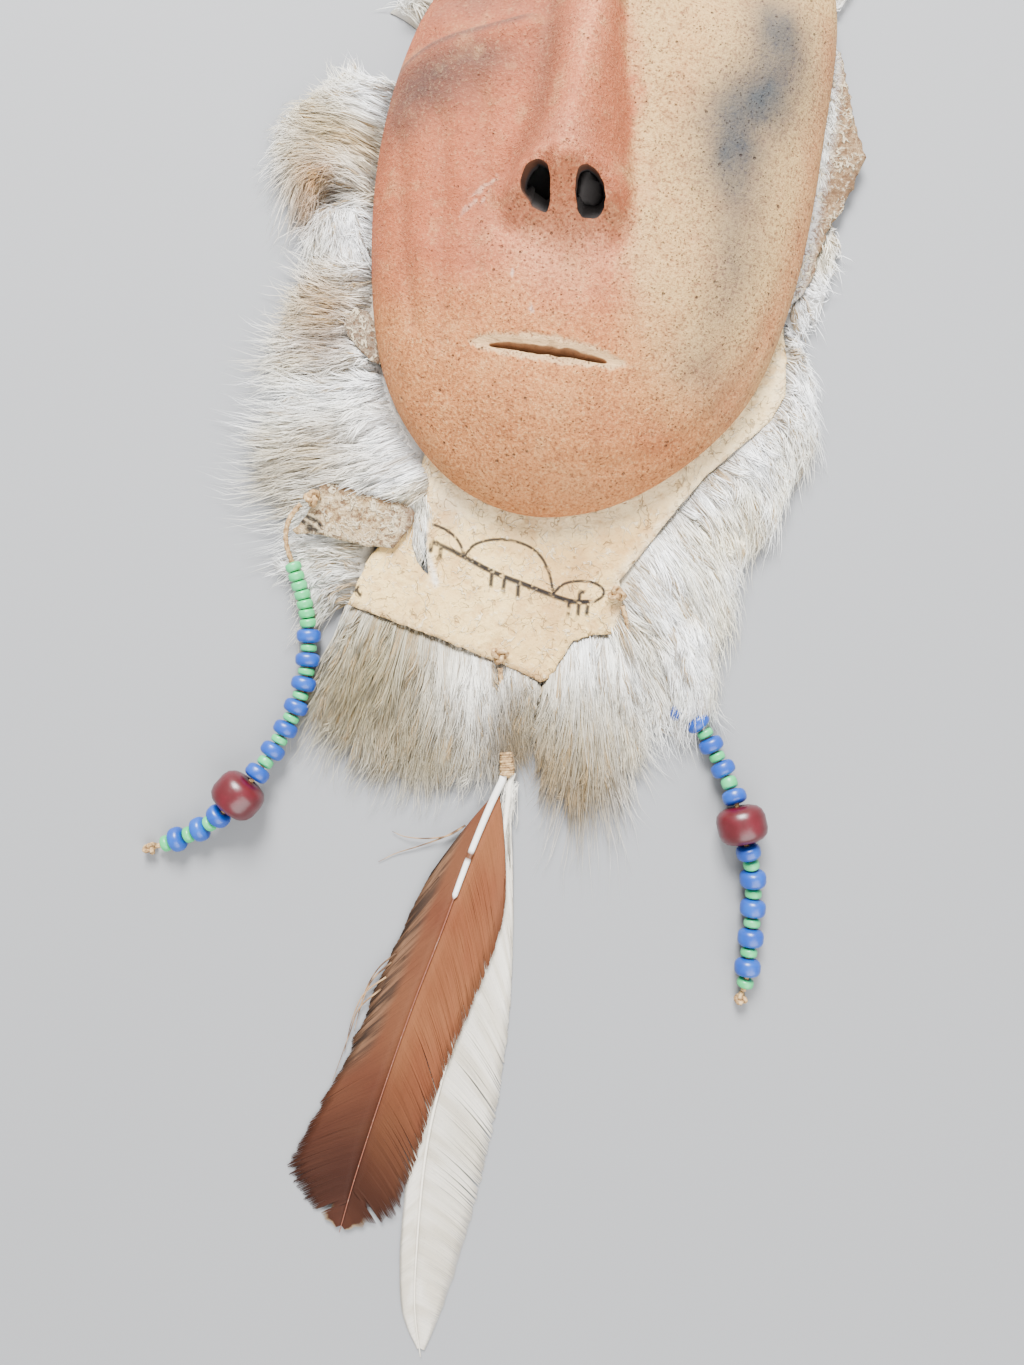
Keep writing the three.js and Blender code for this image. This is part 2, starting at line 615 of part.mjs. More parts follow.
// The worn tip of the red feather, cut into a fringe.
function redFeather() {
  const from = RED_FEATHER.left[RED_FEATHER.left.length - 1];
  const to = RED_FEATHER.right[RED_FEATHER.right.length - 1];
  const middle = RED_FEATHER.rachis[RED_FEATHER.rachis.length - 1];
  return FRINGE_NOTCHES.reduce((vane, share) => {
    const edge = share < 0.5 ? [from, middle, share * 2] : [middle, to, share * 2 - 1];
    const x = lerp(edge[0][0], edge[1][0], edge[2]);
    const y = lerp(edge[0][1], edge[1][1], edge[2]);
    const lean = (x - middle[0]) * 0.25;
    const notch = [[x - 1, y - 3], [x + 1, y - 3], [x - lean * 0.4, y + FRINGE_DEPTH]];
    return vane.subtract(block(notch, -1, 8));
  }, feather(RED_FEATHER));
}

// Thongs, knots and beads

function tube(curve, radius, step) {
  const section = new THREE.Shape().absarc(0, 0, radius, 0, 2 * Math.PI);
  const ring = section.getPoints(THONG_SIDES / 2).slice(0, -1);
  return new THREE.ExtrudeGeometry(new THREE.Shape(ring), {
    steps: Math.round(curve.getLength() / step),
    extrudePath: curve,
    bevelEnabled: false,
  });
}

const leftCurve = openCurve(LEFT_ROUTE);
const rightCurve = openCurve(RIGHT_ROUTE);
const featherCurve = openCurve(FEATHER_ROUTE);

// A small tight knot: a lump with three twisted strands.
function lump([x, y, z], [halfX, halfY, halfZ]) {
  const levels = [[0.35, -1], [0.86, -0.62], [1, 0], [0.84, 0.64], [0.4, 1]];
  return loft(levels.map(([wide, up]) => polarRing(KNOT_SIDES, (angle) => {
    const strand = wide * (1 + 0.16 * Math.cos(3 * angle + 1.8 * up));
    return point(x + halfX * strand * Math.cos(angle), y + halfY * strand * Math.sin(angle), z + halfZ * up);
  })));
}

function binding() {
  const { centre, radius, length, wraps } = BINDING;
  const profile = [new THREE.Vector2(0, -length / 2)];
  for (let wrap = 0; wrap < wraps; wrap += 1) {
    const middle = -length / 2 + ((wrap + 0.5) / wraps) * length;
    const half = (0.5 * length) / wraps;
    profile.push(new THREE.Vector2(radius * 0.86, middle - half * 0.92));
    profile.push(new THREE.Vector2(radius, middle));
  }
  profile.push(new THREE.Vector2(radius * 0.86, length / 2), new THREE.Vector2(0, length / 2));
  const geometry = new THREE.LatheGeometry(profile, 8);
  const along = featherCurve.getTangentAt(1).setZ(0).normalize();
  const mesh = part('feather_binding', geometry, THONG_COLOUR);
  mesh.quaternion.setFromUnitVectors(point(0, 1, 0), along);
  mesh.position.set(...centre);
  return mesh;
}

// A bead is its section turned about its hole.
function beadGeometry({ radius, sides, hole, section }, length) {
  const half = length / 2;
  const outside = section.map(([across, up]) => [across * radius, up * half]);
  const profile = [[hole, -half], ...outside, [hole, half], [hole, -half]];
  return new THREE.LatheGeometry(profile.map(([across, up]) => new THREE.Vector2(across, up)), sides);
}

// Where a bead sits on its thong: its middle and the direction of its hole.
function placeOn(curve, start, length) {
  const whole = curve.getLength();
  const from = curve.getPointAt(start / whole);
  const to = curve.getPointAt((start + length) / whole);
  const middle = from.clone().lerp(to, 0.5);
  const turn = new THREE.Quaternion().setFromUnitVectors(point(0, 1, 0), to.sub(from).normalize());
  return { middle, turn };
}

function threadBeads(side, curve, start, beads) {
  const names = new Map([[BLUE, 'blue'], [BROAD_BLUE, 'blue'], [GREEN, 'green'], [RED, 'red']]);
  const counts = {};
  const ahead = (along) => curve.getTangentAt(Math.min(1, along / curve.getLength()));
  let at = start;
  return beads.map(([kind, length], index) => {
    const [, nextLength] = beads[index + 1] ?? [kind, 0];
    const colour = names.get(kind);
    counts[colour] = (counts[colour] ?? 0) + 1;
    const mesh = part(`${side}_${colour}_${counts[colour]}`, beadGeometry(kind, length), kind.colour);
    const { middle, turn } = placeOn(curve, at, length);
    mesh.position.copy(middle);
    mesh.quaternion.copy(turn);
    const bend = ahead(at + length / 2).angleTo(ahead(at + length + nextLength / 2));
    at += length + BEAD_GAP + BEND_ROOM * bend;
    return mesh;
  });
}

// A round bar along part of a curve, given as lengths along it with a radius at each.
function bar(curve, stations, sides) {
  const whole = curve.getLength();
  return solidFrom(loft(stations.map(([along, radius]) => {
    const middle = curve.getPointAt(along / whole);
    const ahead = curve.getTangentAt(along / whole);
    const aside = point(0, 0, 1).cross(ahead).normalize();
    const up = ahead.clone().cross(aside);
    return polarRing(sides, (angle) => middle.clone()
      .addScaledVector(aside, radius * Math.cos(angle))
      .addScaledVector(up, radius * Math.sin(angle)));
  })));
}

// The closely packed green beads at the top of the left string touch, so they are one body.
function topGreens() {
  const { radius, hole, sides } = GREEN;
  const starts = Array.from({ length: LEFT_TOP_GREENS }, (_, index) => LEFT_START + index * TOP_GREEN_LENGTH);
  const end = LEFT_START + LEFT_TOP_GREENS * TOP_GREEN_LENGTH;
  const outside = starts.flatMap((start) => [
    [start, radius * 0.82], [start + 0.2 * TOP_GREEN_LENGTH, radius], [start + 0.8 * TOP_GREEN_LENGTH, radius],
  ]);
  const tunnel = [LEFT_START - 1, ...starts.slice(1), end + 1].map((along) => [along, hole]);
  const beads = bar(leftCurve, [...outside, [end, radius * 0.82]], sides);
  return part('left_top_greens', geometryFrom(beads.subtract(bar(leftCurve, tunnel, sides))), GREEN.colour);
}

// The room that the fur leaves for thongs, beads and knots.
const stringClearance = joined([
  ...[leftCurve, rightCurve, featherCurve].map((curve) => (
    solidFrom(tube(curve, THONG_DIAMETER / 2 + 2 * GAP, THONG_STEP))
  )),
  ...[TAG_KNOT, HIDE_KNOT, FEATHER_KNOT].map(({ centre: [x, y, z], half: [halfX, halfY, halfZ] }) => (
    mound([x, y], [halfX + 1, halfY + 1], z - halfZ - GAP, 2 * halfZ + 1)
  )),
]);

function part(name, geometry, colour, roughness = 0.7) {
  const material = new THREE.MeshStandardMaterial({ color: colour, roughness, metalness: 0 });
  const mesh = new THREE.Mesh(geometry, material);
  mesh.name = name;
  return mesh;
}

const leftBeadStart = LEFT_START + LEFT_TOP_GREENS * TOP_GREEN_LENGTH + BEAD_GAP + 0.15;
const knots = {
  tag_knot: TAG_KNOT,
  hide_knot: HIDE_KNOT,
  feather_knot: FEATHER_KNOT,
  left_end_knot: LEFT_END_KNOT,
  right_end_knot: RIGHT_END_KNOT,
};

const mask = new THREE.Group();
mask.add(
  part('clay_mask', geometryFrom(clayMask()), CLAY_COLOUR, 0.85),
  part('chin_pelt', geometryFrom(chinPelt()), HIDE_COLOUR, 0.9),
  part('cheek_pelt', geometryFrom(cheekPelt()), FUR_COLOUR, 0.9),
  part('right_pelt', geometryFrom(rightPelt()), SUEDE_COLOUR, 0.9),
  part('crown_pelt', geometryFrom(crownPelt()), FUR_COLOUR, 0.9),
  part('bead_tag', geometryFrom(tagSlab(TAG_RISE.low, TAG_RISE.low + TAG_THICKNESS, 0)), SUEDE_COLOUR, 0.9),
  part('feather_red', geometryFrom(redFeather()), RUSTY_COLOUR),
  part('feather_white', geometryFrom(feather(WHITE_FEATHER)), WHITE_COLOUR),
  part('left_thong', tube(leftCurve, THONG_DIAMETER / 2, THONG_STEP), THONG_COLOUR),
  part('right_thong', tube(rightCurve, THONG_DIAMETER / 2, THONG_STEP), THONG_COLOUR),
  part('feather_thong', tube(featherCurve, THONG_DIAMETER / 2, THONG_STEP), THONG_COLOUR),
  binding(),
  topGreens(),
  ...Object.entries(knots).map(([name, { centre, half }]) => (
    part(name, lump(centre, half), THONG_COLOUR)
  )),
  ...threadBeads('left', leftCurve, leftBeadStart, LEFT_BEADS),
  ...threadBeads('right', rightCurve, RIGHT_START, RIGHT_BEADS),
);
mask.position.set(-FOOTPRINT_CENTRE[0], -FOOTPRINT_CENTRE[1], 0);

export default mask;
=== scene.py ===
# Looks for a clay wall mask dressed with rabbit pelts, bead strings and feathers.
# Places and sizes are millimetres in the plan that the part is drawn in, and world() turns
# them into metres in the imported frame. Colours are sRGB values.

import math

import bmesh
import bpy
import numpy as np
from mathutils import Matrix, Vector
from mathutils.geometry import delaunay_2d_cdt

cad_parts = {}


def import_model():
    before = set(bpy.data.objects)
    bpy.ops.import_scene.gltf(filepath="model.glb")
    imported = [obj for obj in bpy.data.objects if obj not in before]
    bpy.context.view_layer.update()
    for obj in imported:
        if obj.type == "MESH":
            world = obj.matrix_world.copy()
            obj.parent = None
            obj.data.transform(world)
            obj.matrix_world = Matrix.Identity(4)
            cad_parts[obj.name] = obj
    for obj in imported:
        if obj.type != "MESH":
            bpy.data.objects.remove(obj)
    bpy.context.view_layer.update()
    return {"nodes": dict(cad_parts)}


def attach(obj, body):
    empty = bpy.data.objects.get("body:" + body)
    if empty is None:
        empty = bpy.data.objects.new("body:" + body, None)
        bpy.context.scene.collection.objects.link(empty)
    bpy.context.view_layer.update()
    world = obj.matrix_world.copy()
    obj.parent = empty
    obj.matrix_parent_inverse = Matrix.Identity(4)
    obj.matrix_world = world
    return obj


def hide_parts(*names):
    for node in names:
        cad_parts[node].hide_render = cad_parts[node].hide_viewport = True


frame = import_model()

MM = 0.001
PLAN_CENTRE = (0.15, 7.12, 0.0)

# Camera and light
CAMERA_PLACE = (7.0, -30.5, 331.0)
CAMERA_TURN = 8.5
CAMERA_LENS = 27.06
LIGHTS = [
    {"name": "key_light", "place": (-0.22, 0.85, 0.82), "size": 0.5, "power": 65},
    {"name": "fill_light", "place": (0.45, -0.75, 0.8), "size": 1.2, "power": 27},
]
ROOM_LIGHT = 0.92
FLOOR_HALF = 3.0

# Colours
RED_CLAY = (154, 79, 45)
ORANGE_CLAY = (176, 112, 60)
CREAM_CLAY = (185, 150, 96)
BROWN_CLAY = (104, 57, 34)
SMOKE_BLUE = (43, 54, 62)
CUT_CLAY = (200, 164, 118)
CUT_SHADE = (132, 92, 62)
HOLE_BROWN = (100, 62, 42)
# The grey for deep in the nostrils is painted shade
HOLE_SHADE_GREY = (64, 61, 60)
HIDE_TAN = (230, 197, 132)
HIDE_BROWN = (150, 112, 72)
HIDE_GREY = (140, 128, 122)
HIDE_WHITE = (242, 238, 228)
INK = (20, 18, 22)
SUEDE_BROWN = (112, 82, 58)
FUR_WHITE = (251, 254, 255)
FUR_CREAM = (232, 222, 194)
FUR_TAN = (182, 150, 98)
FUR_GREY = (190, 184, 170)
THONG_BROWN = (172, 138, 94)
THONG_DARK = (92, 66, 42)
BEAD_BLUE = (0, 60, 150)
BEAD_GREEN = (44, 172, 98)
BEAD_RED = (72, 2, 12)
RUST = (108, 54, 30)
RUST_DARK = (40, 18, 10)
BAR_GREY = (32, 24, 20)
QUILL_WHITE = (232, 226, 212)
FEATHER_WHITE = (192, 184, 168)
FEATHER_SHADE = (172, 162, 140)


def world(points):
    """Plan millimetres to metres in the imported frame."""
    return (np.asarray(points, float) - PLAN_CENTRE) * MM


def linear(colour):
    """An sRGB colour as the linear values that Blender mixes."""
    share = np.asarray(colour, float) / 255
    return np.where(share <= 0.04045, share / 12.92, ((share + 0.055) / 1.055) ** 2.4)


def smooth(value):
    held = np.clip(value, 0, 1)
    return held * held * (3 - 2 * held)


def mix(first, second, share):
    """Blend of two colours or points, with one share for each row."""
    share = np.asarray(share, float)[..., None]
    return np.asarray(first) * (1 - share) + np.asarray(second) * share


def painted(colour, over, share):
    """Linear colours with an sRGB colour laid over them by shares."""
    return mix(colour, linear(over), share)


def unit(vectors):
    """The same directions with length 1."""
    return vectors / np.maximum(np.linalg.norm(vectors, axis=-1, keepdims=True), 1e-9)


def bell(value):
    """1 at 0, falling softly to nothing beyond 2."""
    return np.exp(-(value**2))


def noise2(x, y, size, seed):
    """Smooth noise from -1 to 1, with lumps about size across."""
    across, up = np.asarray(x, float) / size, np.asarray(y, float) / size
    column, row = np.floor(across).astype(np.int64), np.floor(up).astype(np.int64)
    right, over = smooth(across - column), smooth(up - row)

    def corner(dx, dy):
        mixed = ((column + dx) * 374761393 + (row + dy) * 668265263 + seed * 97463477) & 0xFFFFFFFF
        mixed = ((mixed ^ (mixed >> 13)) * 1274126177) & 0xFFFFFFFF
        return ((mixed ^ (mixed >> 16)) & 0xFFFF) / 32767.5 - 1

    low = corner(0, 0) * (1 - right) + corner(1, 0) * right
    high = corner(0, 1) * (1 - right) + corner(1, 1) * right
    return low * (1 - over) + high * over


def noise1(x, seed):
    """Smooth noise along a line, with lumps about 1 across."""
    return noise2(x, np.zeros_like(x), 1, seed)


def rough2(x, y, size, seed, octaves):
    """Noise of several sizes laid over each other."""
    total = 0.0
    for octave in range(octaves):
        total = total + noise2(x, y, size / 2**octave, seed + octave) / 2**octave
    return total / (2 - 0.5 ** (octaves - 1))


def spline(points, closed=False, steps=12):
    """Centripetal Catmull-Rom curve through the points, as a close line of points."""
    given = np.asarray(points, float)
    if closed:
        held = np.vstack([given[-1:], given, given[:2]])
    else:
        held = np.vstack([2 * given[:1] - given[1:2], given, 2 * given[-1:] - given[-2:-1]])
    share = np.linspace(0, 1, steps, endpoint=False)[:, None]
    spans = []
    for a, b, c, d in zip(held, held[1:], held[2:], held[3:]):
        before, within, after = (
            max(np.linalg.norm(q - p), 1e-6) ** 0.5 for p, q in ((a, b), (b, c), (c, d))
        )
        leave = ((b - a) / before - (c - a) / (before + within) + (c - b) / within) * within
        arrive = ((c - b) / within - (d - b) / (within + after) + (d - c) / after) * within
        square = 3 * (c - b) - 2 * leave - arrive
        cube = 2 * (b - c) + leave + arrive
        spans.append(b + leave * share + square * share**2 + cube * share**3)
    if not closed:
        spans.append(given[-1:])
    return np.vstack(spans)


def lengths_of(path):
    return np.concatenate([[0], np.cumsum(np.linalg.norm(np.diff(path, axis=0), axis=1))])


def along(path, distance):
    """Points at the given distances along a path."""
    at = lengths_of(path)
    return np.stack([np.interp(distance, at, column) for column in path.T], axis=-1)


def along_share(path, share):
    return along(path, np.asarray(share) * lengths_of(path)[-1])


def inside(x, y, outline):
    """Whether each point is inside a closed outline."""
    found = np.zeros(np.shape(x), bool)
    for (x0, y0), (x1, y1) in zip(outline, np.roll(outline, -1, axis=0)):
        crosses = (y0 > y) != (y1 > y)
        edge = x0 + (y - y0) * (x1 - x0) / (y1 - y0 if y1 != y0 else 1e-9)
        found ^= crosses & (x < edge)
    return found


def distance_to(x, y, line):
    """Distance from each point to an open line."""
    nearest = np.full(np.shape(x), 1e9)
    for (x0, y0), (x1, y1) in zip(line, line[1:]):
        dx, dy = x1 - x0, y1 - y0
        share = np.clip(((x - x0) * dx + (y - y0) * dy) / max(dx * dx + dy * dy, 1e-9), 0, 1)
        nearest = np.minimum(nearest, np.hypot(x - x0 - share * dx, y - y0 - share * dy))
    return nearest


# Pieces

def new_object(name, points, faces, materials, tint=None, uv=None, picks=None):
    """A mesh object from plan points, with a material index for each face in picks.

    The tint holds linear colours, and a fourth value below 1 where ink or smoke covers them.
    """
    mesh = bpy.data.meshes.new(name)
    faces = faces.tolist() if isinstance(faces, np.ndarray) else faces
    mesh.from_pydata(world(points).tolist(), [], faces)
    for material in materials:
        mesh.materials.append(material)
    if picks is not None:
        mesh.polygons.foreach_set("material_index", np.asarray(picks, np.int32))
    if tint is not None:
        layer = mesh.color_attributes.new("tint", "FLOAT_COLOR", "POINT")
        full = tint if tint.shape[1] == 4 else np.concatenate([tint, np.ones((len(tint), 1))], axis=1)
        layer.data.foreach_set("color", full.astype(np.float32).ravel())
    if uv is not None:
        corners = np.zeros(len(mesh.loops), np.int32)
        mesh.loops.foreach_get("vertex_index", corners)
        mesh.uv_layers.new(name="flow").data.foreach_set("uv", uv[corners].astype(np.float32).ravel())
    mesh.shade_smooth()
    mesh.update()
    made = bpy.data.objects.new(name, mesh)
    bpy.context.scene.collection.objects.link(made)
    return made


def place(piece, slot, *nodes):
    """The piece rides on the part and stands for CAD nodes, which it hides; the slot is not used."""
    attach(piece, "root")
    if nodes:
        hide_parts(*nodes)
    return piece


def grid_faces(rows, columns, start=0, closed=False):
    """Quads between the points of a grid, closed round each row or not."""
    row = np.arange(rows - 1)[:, None] * columns
    column = np.arange(columns if closed else columns - 1)[None, :]
    after = (column + 1) % columns
    corners = [row + column, row + after, row + columns + after, row + columns + column]
    return np.stack([corner.ravel() for corner in corners], axis=-1) + start


def outward(piece):
    """Turns a closed mesh's faces outward."""
    work = bmesh.new()
    work.from_mesh(piece.data)
    bmesh.ops.recalc_face_normals(work, faces=work.faces)
    if work.calc_volume(signed=True) < 0:
        bmesh.ops.reverse_faces(work, faces=work.faces)
    work.to_mesh(piece.data)
    work.free()
    return piece


def tube_points(path, radius, sides, lobes=0, lobe_depth=0.0, pitch=1e9):
    """Rings of points round a path, with twisted lobes if asked."""
    ahead = unit(np.gradient(path, axis=0))
    side = np.cross([0.0, 0.0, 1.0], ahead)
    side[np.linalg.norm(side, axis=1) < 1e-3] = (1, 0, 0)
    side = unit(side)
    up = np.cross(ahead, side)
    angle = np.linspace(0, 2 * math.pi, sides, endpoint=False)[None, :]
    twist = (lengths_of(path) / pitch * 2 * math.pi)[:, None]
    swell = 1 - lobe_depth * (0.5 - 0.5 * np.cos(lobes * (angle - twist)))
    reach = np.broadcast_to(np.asarray(radius, float).reshape(-1, 1), (len(path), 1)) * swell
    ring = side[:, None, :] * (np.cos(angle) * reach)[..., None]
    ring = ring + up[:, None, :] * (np.sin(angle) * reach)[..., None]
    return path[:, None, :] + ring


def closed_rings(rings, ends):
    """Points and faces of a solid through rings of equal count, with a fan to a point at each end."""
    rows, count = rings.shape[:2]
    faces = grid_faces(rows, count, closed=True).tolist()
    first, last = rows * count, (rows - 1) * count
    for side in range(count):
        after = (side + 1) % count
        faces.append([first, after, side])
        faces.append([first + 1, last + side, last + after])
    return np.vstack([rings.reshape(-1, 3), *ends]), faces


def tube(path, radius, sides, **lobed):
    """Points and faces of a closed tube along a path."""
    return closed_rings(tube_points(path, radius, sides, **lobed), (path[:1], path[-1:]))


def merged(shapes):
    """Several (points, faces) shapes as one."""
    points, faces, start = [], [], 0
    for shape_points, shape_faces in shapes:
        points.append(shape_points)
        faces.extend([[index + start for index in face] for face in shape_faces])
        start += len(shape_points)
    return np.vstack(points), faces


def prism_faces(last):
    """The long faces of a three-sided strip, up to its last ring's first point."""
    faces = []
    for low in range(0, last, 3):
        for at in range(3):
            after = (at + 1) % 3
            faces.append([low + at, low + after, low + 3 + after, low + 3 + at])
    return faces


def repeated(pattern, count, each):
    """The faces of many like shapes, from one shape's faces and its number of points."""
    starts = np.arange(count)[:, None] * each
    return [face for corners in pattern for face in (starts + np.array(corners)).tolist()]


# Materials

# Places of the colours among a mix node's inputs and outputs
MIX_COLOURS = (6, 7)
MIX_RESULT = 2


class Nodes:
    """Short ways to add nodes to one material, from numbers, tuples and other nodes' outputs."""

    def __init__(self, name):
        self.material = bpy.data.materials.new(name)
        self.material.use_nodes = True
        self.tree = self.material.node_tree
        self.shader = self.tree.nodes["Principled BSDF"]
        self.feed(self.shader, {"Specular IOR Level": 0.3})

    def feed(self, node, inputs):
        """Sets a node's inputs to values or links them to outputs."""
        for key, value in inputs.items():
            if isinstance(value, (int, float, tuple)):
                node.inputs[key].default_value = value
            else:
                self.tree.links.new(value, node.inputs[key])

    def add(self, kind, output, inputs=None, **settings):
        """An output of a new node."""
        node = self.tree.nodes.new(kind)
        for key, value in settings.items():
            setattr(node, key, value)
        self.feed(node, inputs or {})
        return node.outputs[output]

    def plan(self):
        """Coordinates in metres, as the piece lies."""
        return self.add("ShaderNodeTexCoord", "Object")

    def flow(self):
        return self.add("ShaderNodeUVMap", "UV", uv_map="flow")

    def tint(self):
        return self.add("ShaderNodeVertexColor", "Color", layer_name="tint")

    def bare(self):
        """1 where no ink or smoke covers the tint."""
        return self.add("ShaderNodeVertexColor", "Alpha", layer_name="tint")

    def inked(self, colour):
        return self.blend(INK, colour, self.bare())

    def green(self, colour):
        return self.add("ShaderNodeSeparateColor", "Green", {"Color": colour})

    def stretched(self, source, scale):
        return self.add("ShaderNodeMapping", "Vector", {"Vector": source, "Scale": scale})

    def noise(self, source, scale, detail=4.0, roughness=0.6):
        inputs = {"Vector": source, "Scale": scale, "Detail": detail, "Roughness": roughness}
        return self.add("ShaderNodeTexNoise", "Fac", inputs)

    def cells(self, source, scale):
        return self.add("ShaderNodeTexVoronoi", "Distance", {"Vector": source, "Scale": scale})

    def ranged(self, source, low, high, to_low=0.0, to_high=1.0):
        inputs = {"Value": source, "From Min": low, "From Max": high, "To Min": to_low, "To Max": to_high}
        return self.add("ShaderNodeMapRange", "Result", inputs, interpolation_type="SMOOTHSTEP")

    def sum(self, first, second, operation="ADD"):
        return self.add("ShaderNodeMath", "Value", {0: first, 1: second}, operation=operation)

    def blend(self, first, second, share):
        """A mix of two colours, given as sRGB values or outputs."""
        inputs = {0: share}
        for port, value in zip(MIX_COLOURS, (first, second)):
            inputs[port] = (*linear(value), 1.0) if isinstance(value, tuple) else value
        return self.add("ShaderNodeMix", MIX_RESULT, inputs, data_type="RGBA")

    def cover(self, colour, other, source, low, high, share):
        """The other colour over the first, up to a share, as the source goes from low to high."""
        return self.blend(colour, other, self.ranged(source, low, high, 0.0, share))

    def bump(self, height, strength, distance, below=None):
        inputs = {"Height": height, "Strength": strength, "Distance": distance}
        if below is not None:
            inputs["Normal"] = below
        return self.add("ShaderNodeBump", "Normal", inputs)

    def finish(self, colour, normal=None, **inputs):
        """The material, once its shader has its colour, normal and other inputs."""
        self.feed(self.shader, {key.replace("_", " "): value for key, value in inputs.items()})
        self.feed(self.shader, {"Base Color": colour})
        if normal is not None:
            self.feed(self.shader, {"Normal": normal})
        return self.material


def clay_material():
    made = Nodes("fired_clay")
    plan = made.plan()
    mottle = made.noise(plan, 90, 6, 0.65)
    patchy = made.noise(plan, 240, 4, 0.6)
    grain = made.noise(plan, 1050, 3, 0.75)
    tint = made.tint()
    rough = made.ranged(made.green(tint), 0.07, 0.17, 0.55, 1.2)
    pale = made.sum(made.ranged(grain, 0.5, 0.7, 0.0, 0.26), rough, "MULTIPLY")
    shady = made.sum(made.ranged(grain, 0.5, 0.34, 0.0, 0.6), rough, "MULTIPLY")
    colour = made.cover(tint, RED_CLAY, mottle, 0.45, 0.75, 0.2)
    colour = made.cover(colour, BROWN_CLAY, patchy, 0.46, 0.3, 0.28)
    colour = made.blend(colour, (222, 186, 134), pale)
    colour = made.blend(colour, BROWN_CLAY, shady)
    pits = made.cells(plan, 300)
    chosen = made.noise(plan, 110, 2)
    pit = made.sum(made.ranged(pits, 0.17, 0.07), made.ranged(chosen, 0.5, 0.6), "MULTIPLY")
    pricks = made.cells(plan, 760)
    picked = made.noise(plan, 150, 3)
    prick = made.sum(made.ranged(pricks, 0.24, 0.12), made.ranged(picked, 0.42, 0.54), "MULTIPLY")
    clean = made.bare()
    colour = made.blend(SMOKE_BLUE, colour, clean)
    dark = made.sum(made.sum(pit, 0.7, "MULTIPLY"), made.sum(prick, 0.5, "MULTIPLY"), "MAXIMUM")
    dark = made.sum(dark, made.sum(rough, 0.85, "MULTIPLY"), "MULTIPLY")
    colour = made.blend(colour, (44, 28, 24), dark)
    height = made.sum(made.sum(grain, 0.6, "MULTIPLY"), dark, "SUBTRACT")
    brushed = made.noise(made.stretched(plan, (1.0, 0.2, 1.0)), 340, 4)
    normal = made.bump(height, 1.0, 0.0011)
    normal = made.bump(patchy, 0.35, 0.0012, normal)
    normal = made.bump(brushed, 0.3, 0.0007, normal)
    return made.finish(colour, normal, Roughness=made.ranged(mottle, 0.2, 0.8, 0.66, 0.84))


def cut_material():
    """Clay where a knife went through it."""
    made = Nodes("cut_clay")
    plan = made.plan()
    torn = made.noise(made.stretched(plan, (0.5, 1.4, 1.0)), 700, 5, 0.7)
    colour = made.cover(made.tint(), (66, 44, 32), torn, 0.48, 0.3, 0.5)
    return made.finish(colour, made.bump(torn, 0.8, 0.0007), Roughness=0.9)


def hole_material():
    """The sooty inside of the clay, browner near the surface and grey deeper down as painted shade."""
    made = Nodes("clay_inside")
    plan = made.plan()
    stain = made.noise(plan, 60, 5)
    height = made.add("ShaderNodeSeparateXYZ", "Z", {"Vector": plan})
    # Painted shade: grey deep in the nostrils, brown near the surface.
    colour = made.blend(HOLE_SHADE_GREY, HOLE_BROWN, made.ranged(height, 0.0395, 0.0425))
    colour = made.cover(colour, (40, 32, 30), stain, 0.4, 0.7, 0.6)
    return made.finish(colour, made.bump(stain, 0.5, 0.001), Roughness=0.9)


def fibres(made, plan, scale, width, turn, shift):
    """Short thin curved lines, 1 on a line and 0 between them."""
    inputs = {
        "Vector": plan, "Location": (shift, -shift, 0.0), "Rotation": (0.0, 0.0, turn),
        "Scale": (1.0, 1.7, 1.0),
    }
    turned = made.add("ShaderNodeMapping", "Vector", inputs, vector_type="TEXTURE")
    field = made.noise(turned, scale, 2, 0.5)
    off = made.sum(made.sum(field, 0.5, "SUBTRACT"), 0, "ABSOLUTE")
    line = made.ranged(off, width, width * 0.3)
    broken = made.ranged(made.noise(turned, scale * 0.8, 2), 0.5, 0.58)
    return made.sum(line, broken, "MULTIPLY")


def crossed_fibres(made, plan, first, second):
    """Two sets of fibres, each given by its scale, width, turn and shift."""
    return made.sum(fibres(made, plan, *first), fibres(made, plan, *second), "MAXIMUM")


def hide_material():
    """Flesh side of a tanned hide, with loose fibres."""
    made = Nodes("hide_flesh_side")
    plan = made.plan()
    fluff = made.noise(plan, 620, 5, 0.75)
    patch = made.noise(plan, 75, 4)
    dark = crossed_fibres(made, plan, (230, 0.016, 0.5, 0.0), (300, 0.014, 2.1, 0.3))
    pale = crossed_fibres(made, plan, (260, 0.02, 1.3, 0.7), (200, 0.018, 2.8, 1.1))
    colour = made.cover(made.tint(), HIDE_BROWN, fluff, 0.47, 0.25, 0.62)
    colour = made.cover(colour, (246, 232, 196), fluff, 0.54, 0.72, 0.55)
    colour = made.cover(colour, (168, 126, 78), patch, 0.48, 0.7, 0.5)
    crumple = made.noise(plan, 210, 3, 0.6)
    colour = made.cover(colour, (186, 142, 88), crumple, 0.5, 0.34, 0.45)
    colour = made.blend(colour, (108, 78, 52), made.sum(dark, 0.5, "MULTIPLY"))
    colour = made.blend(colour, (250, 240, 212), made.sum(pale, 0.35, "MULTIPLY"))
    height = made.sum(made.sum(fluff, pale), dark, "SUBTRACT")
    normal = made.bump(height, 0.75, 0.0007)
    normal = made.bump(made.sum(patch, crumple), 0.5, 0.002, normal)
    return made.finish(made.inked(colour), normal, Roughness=0.92)


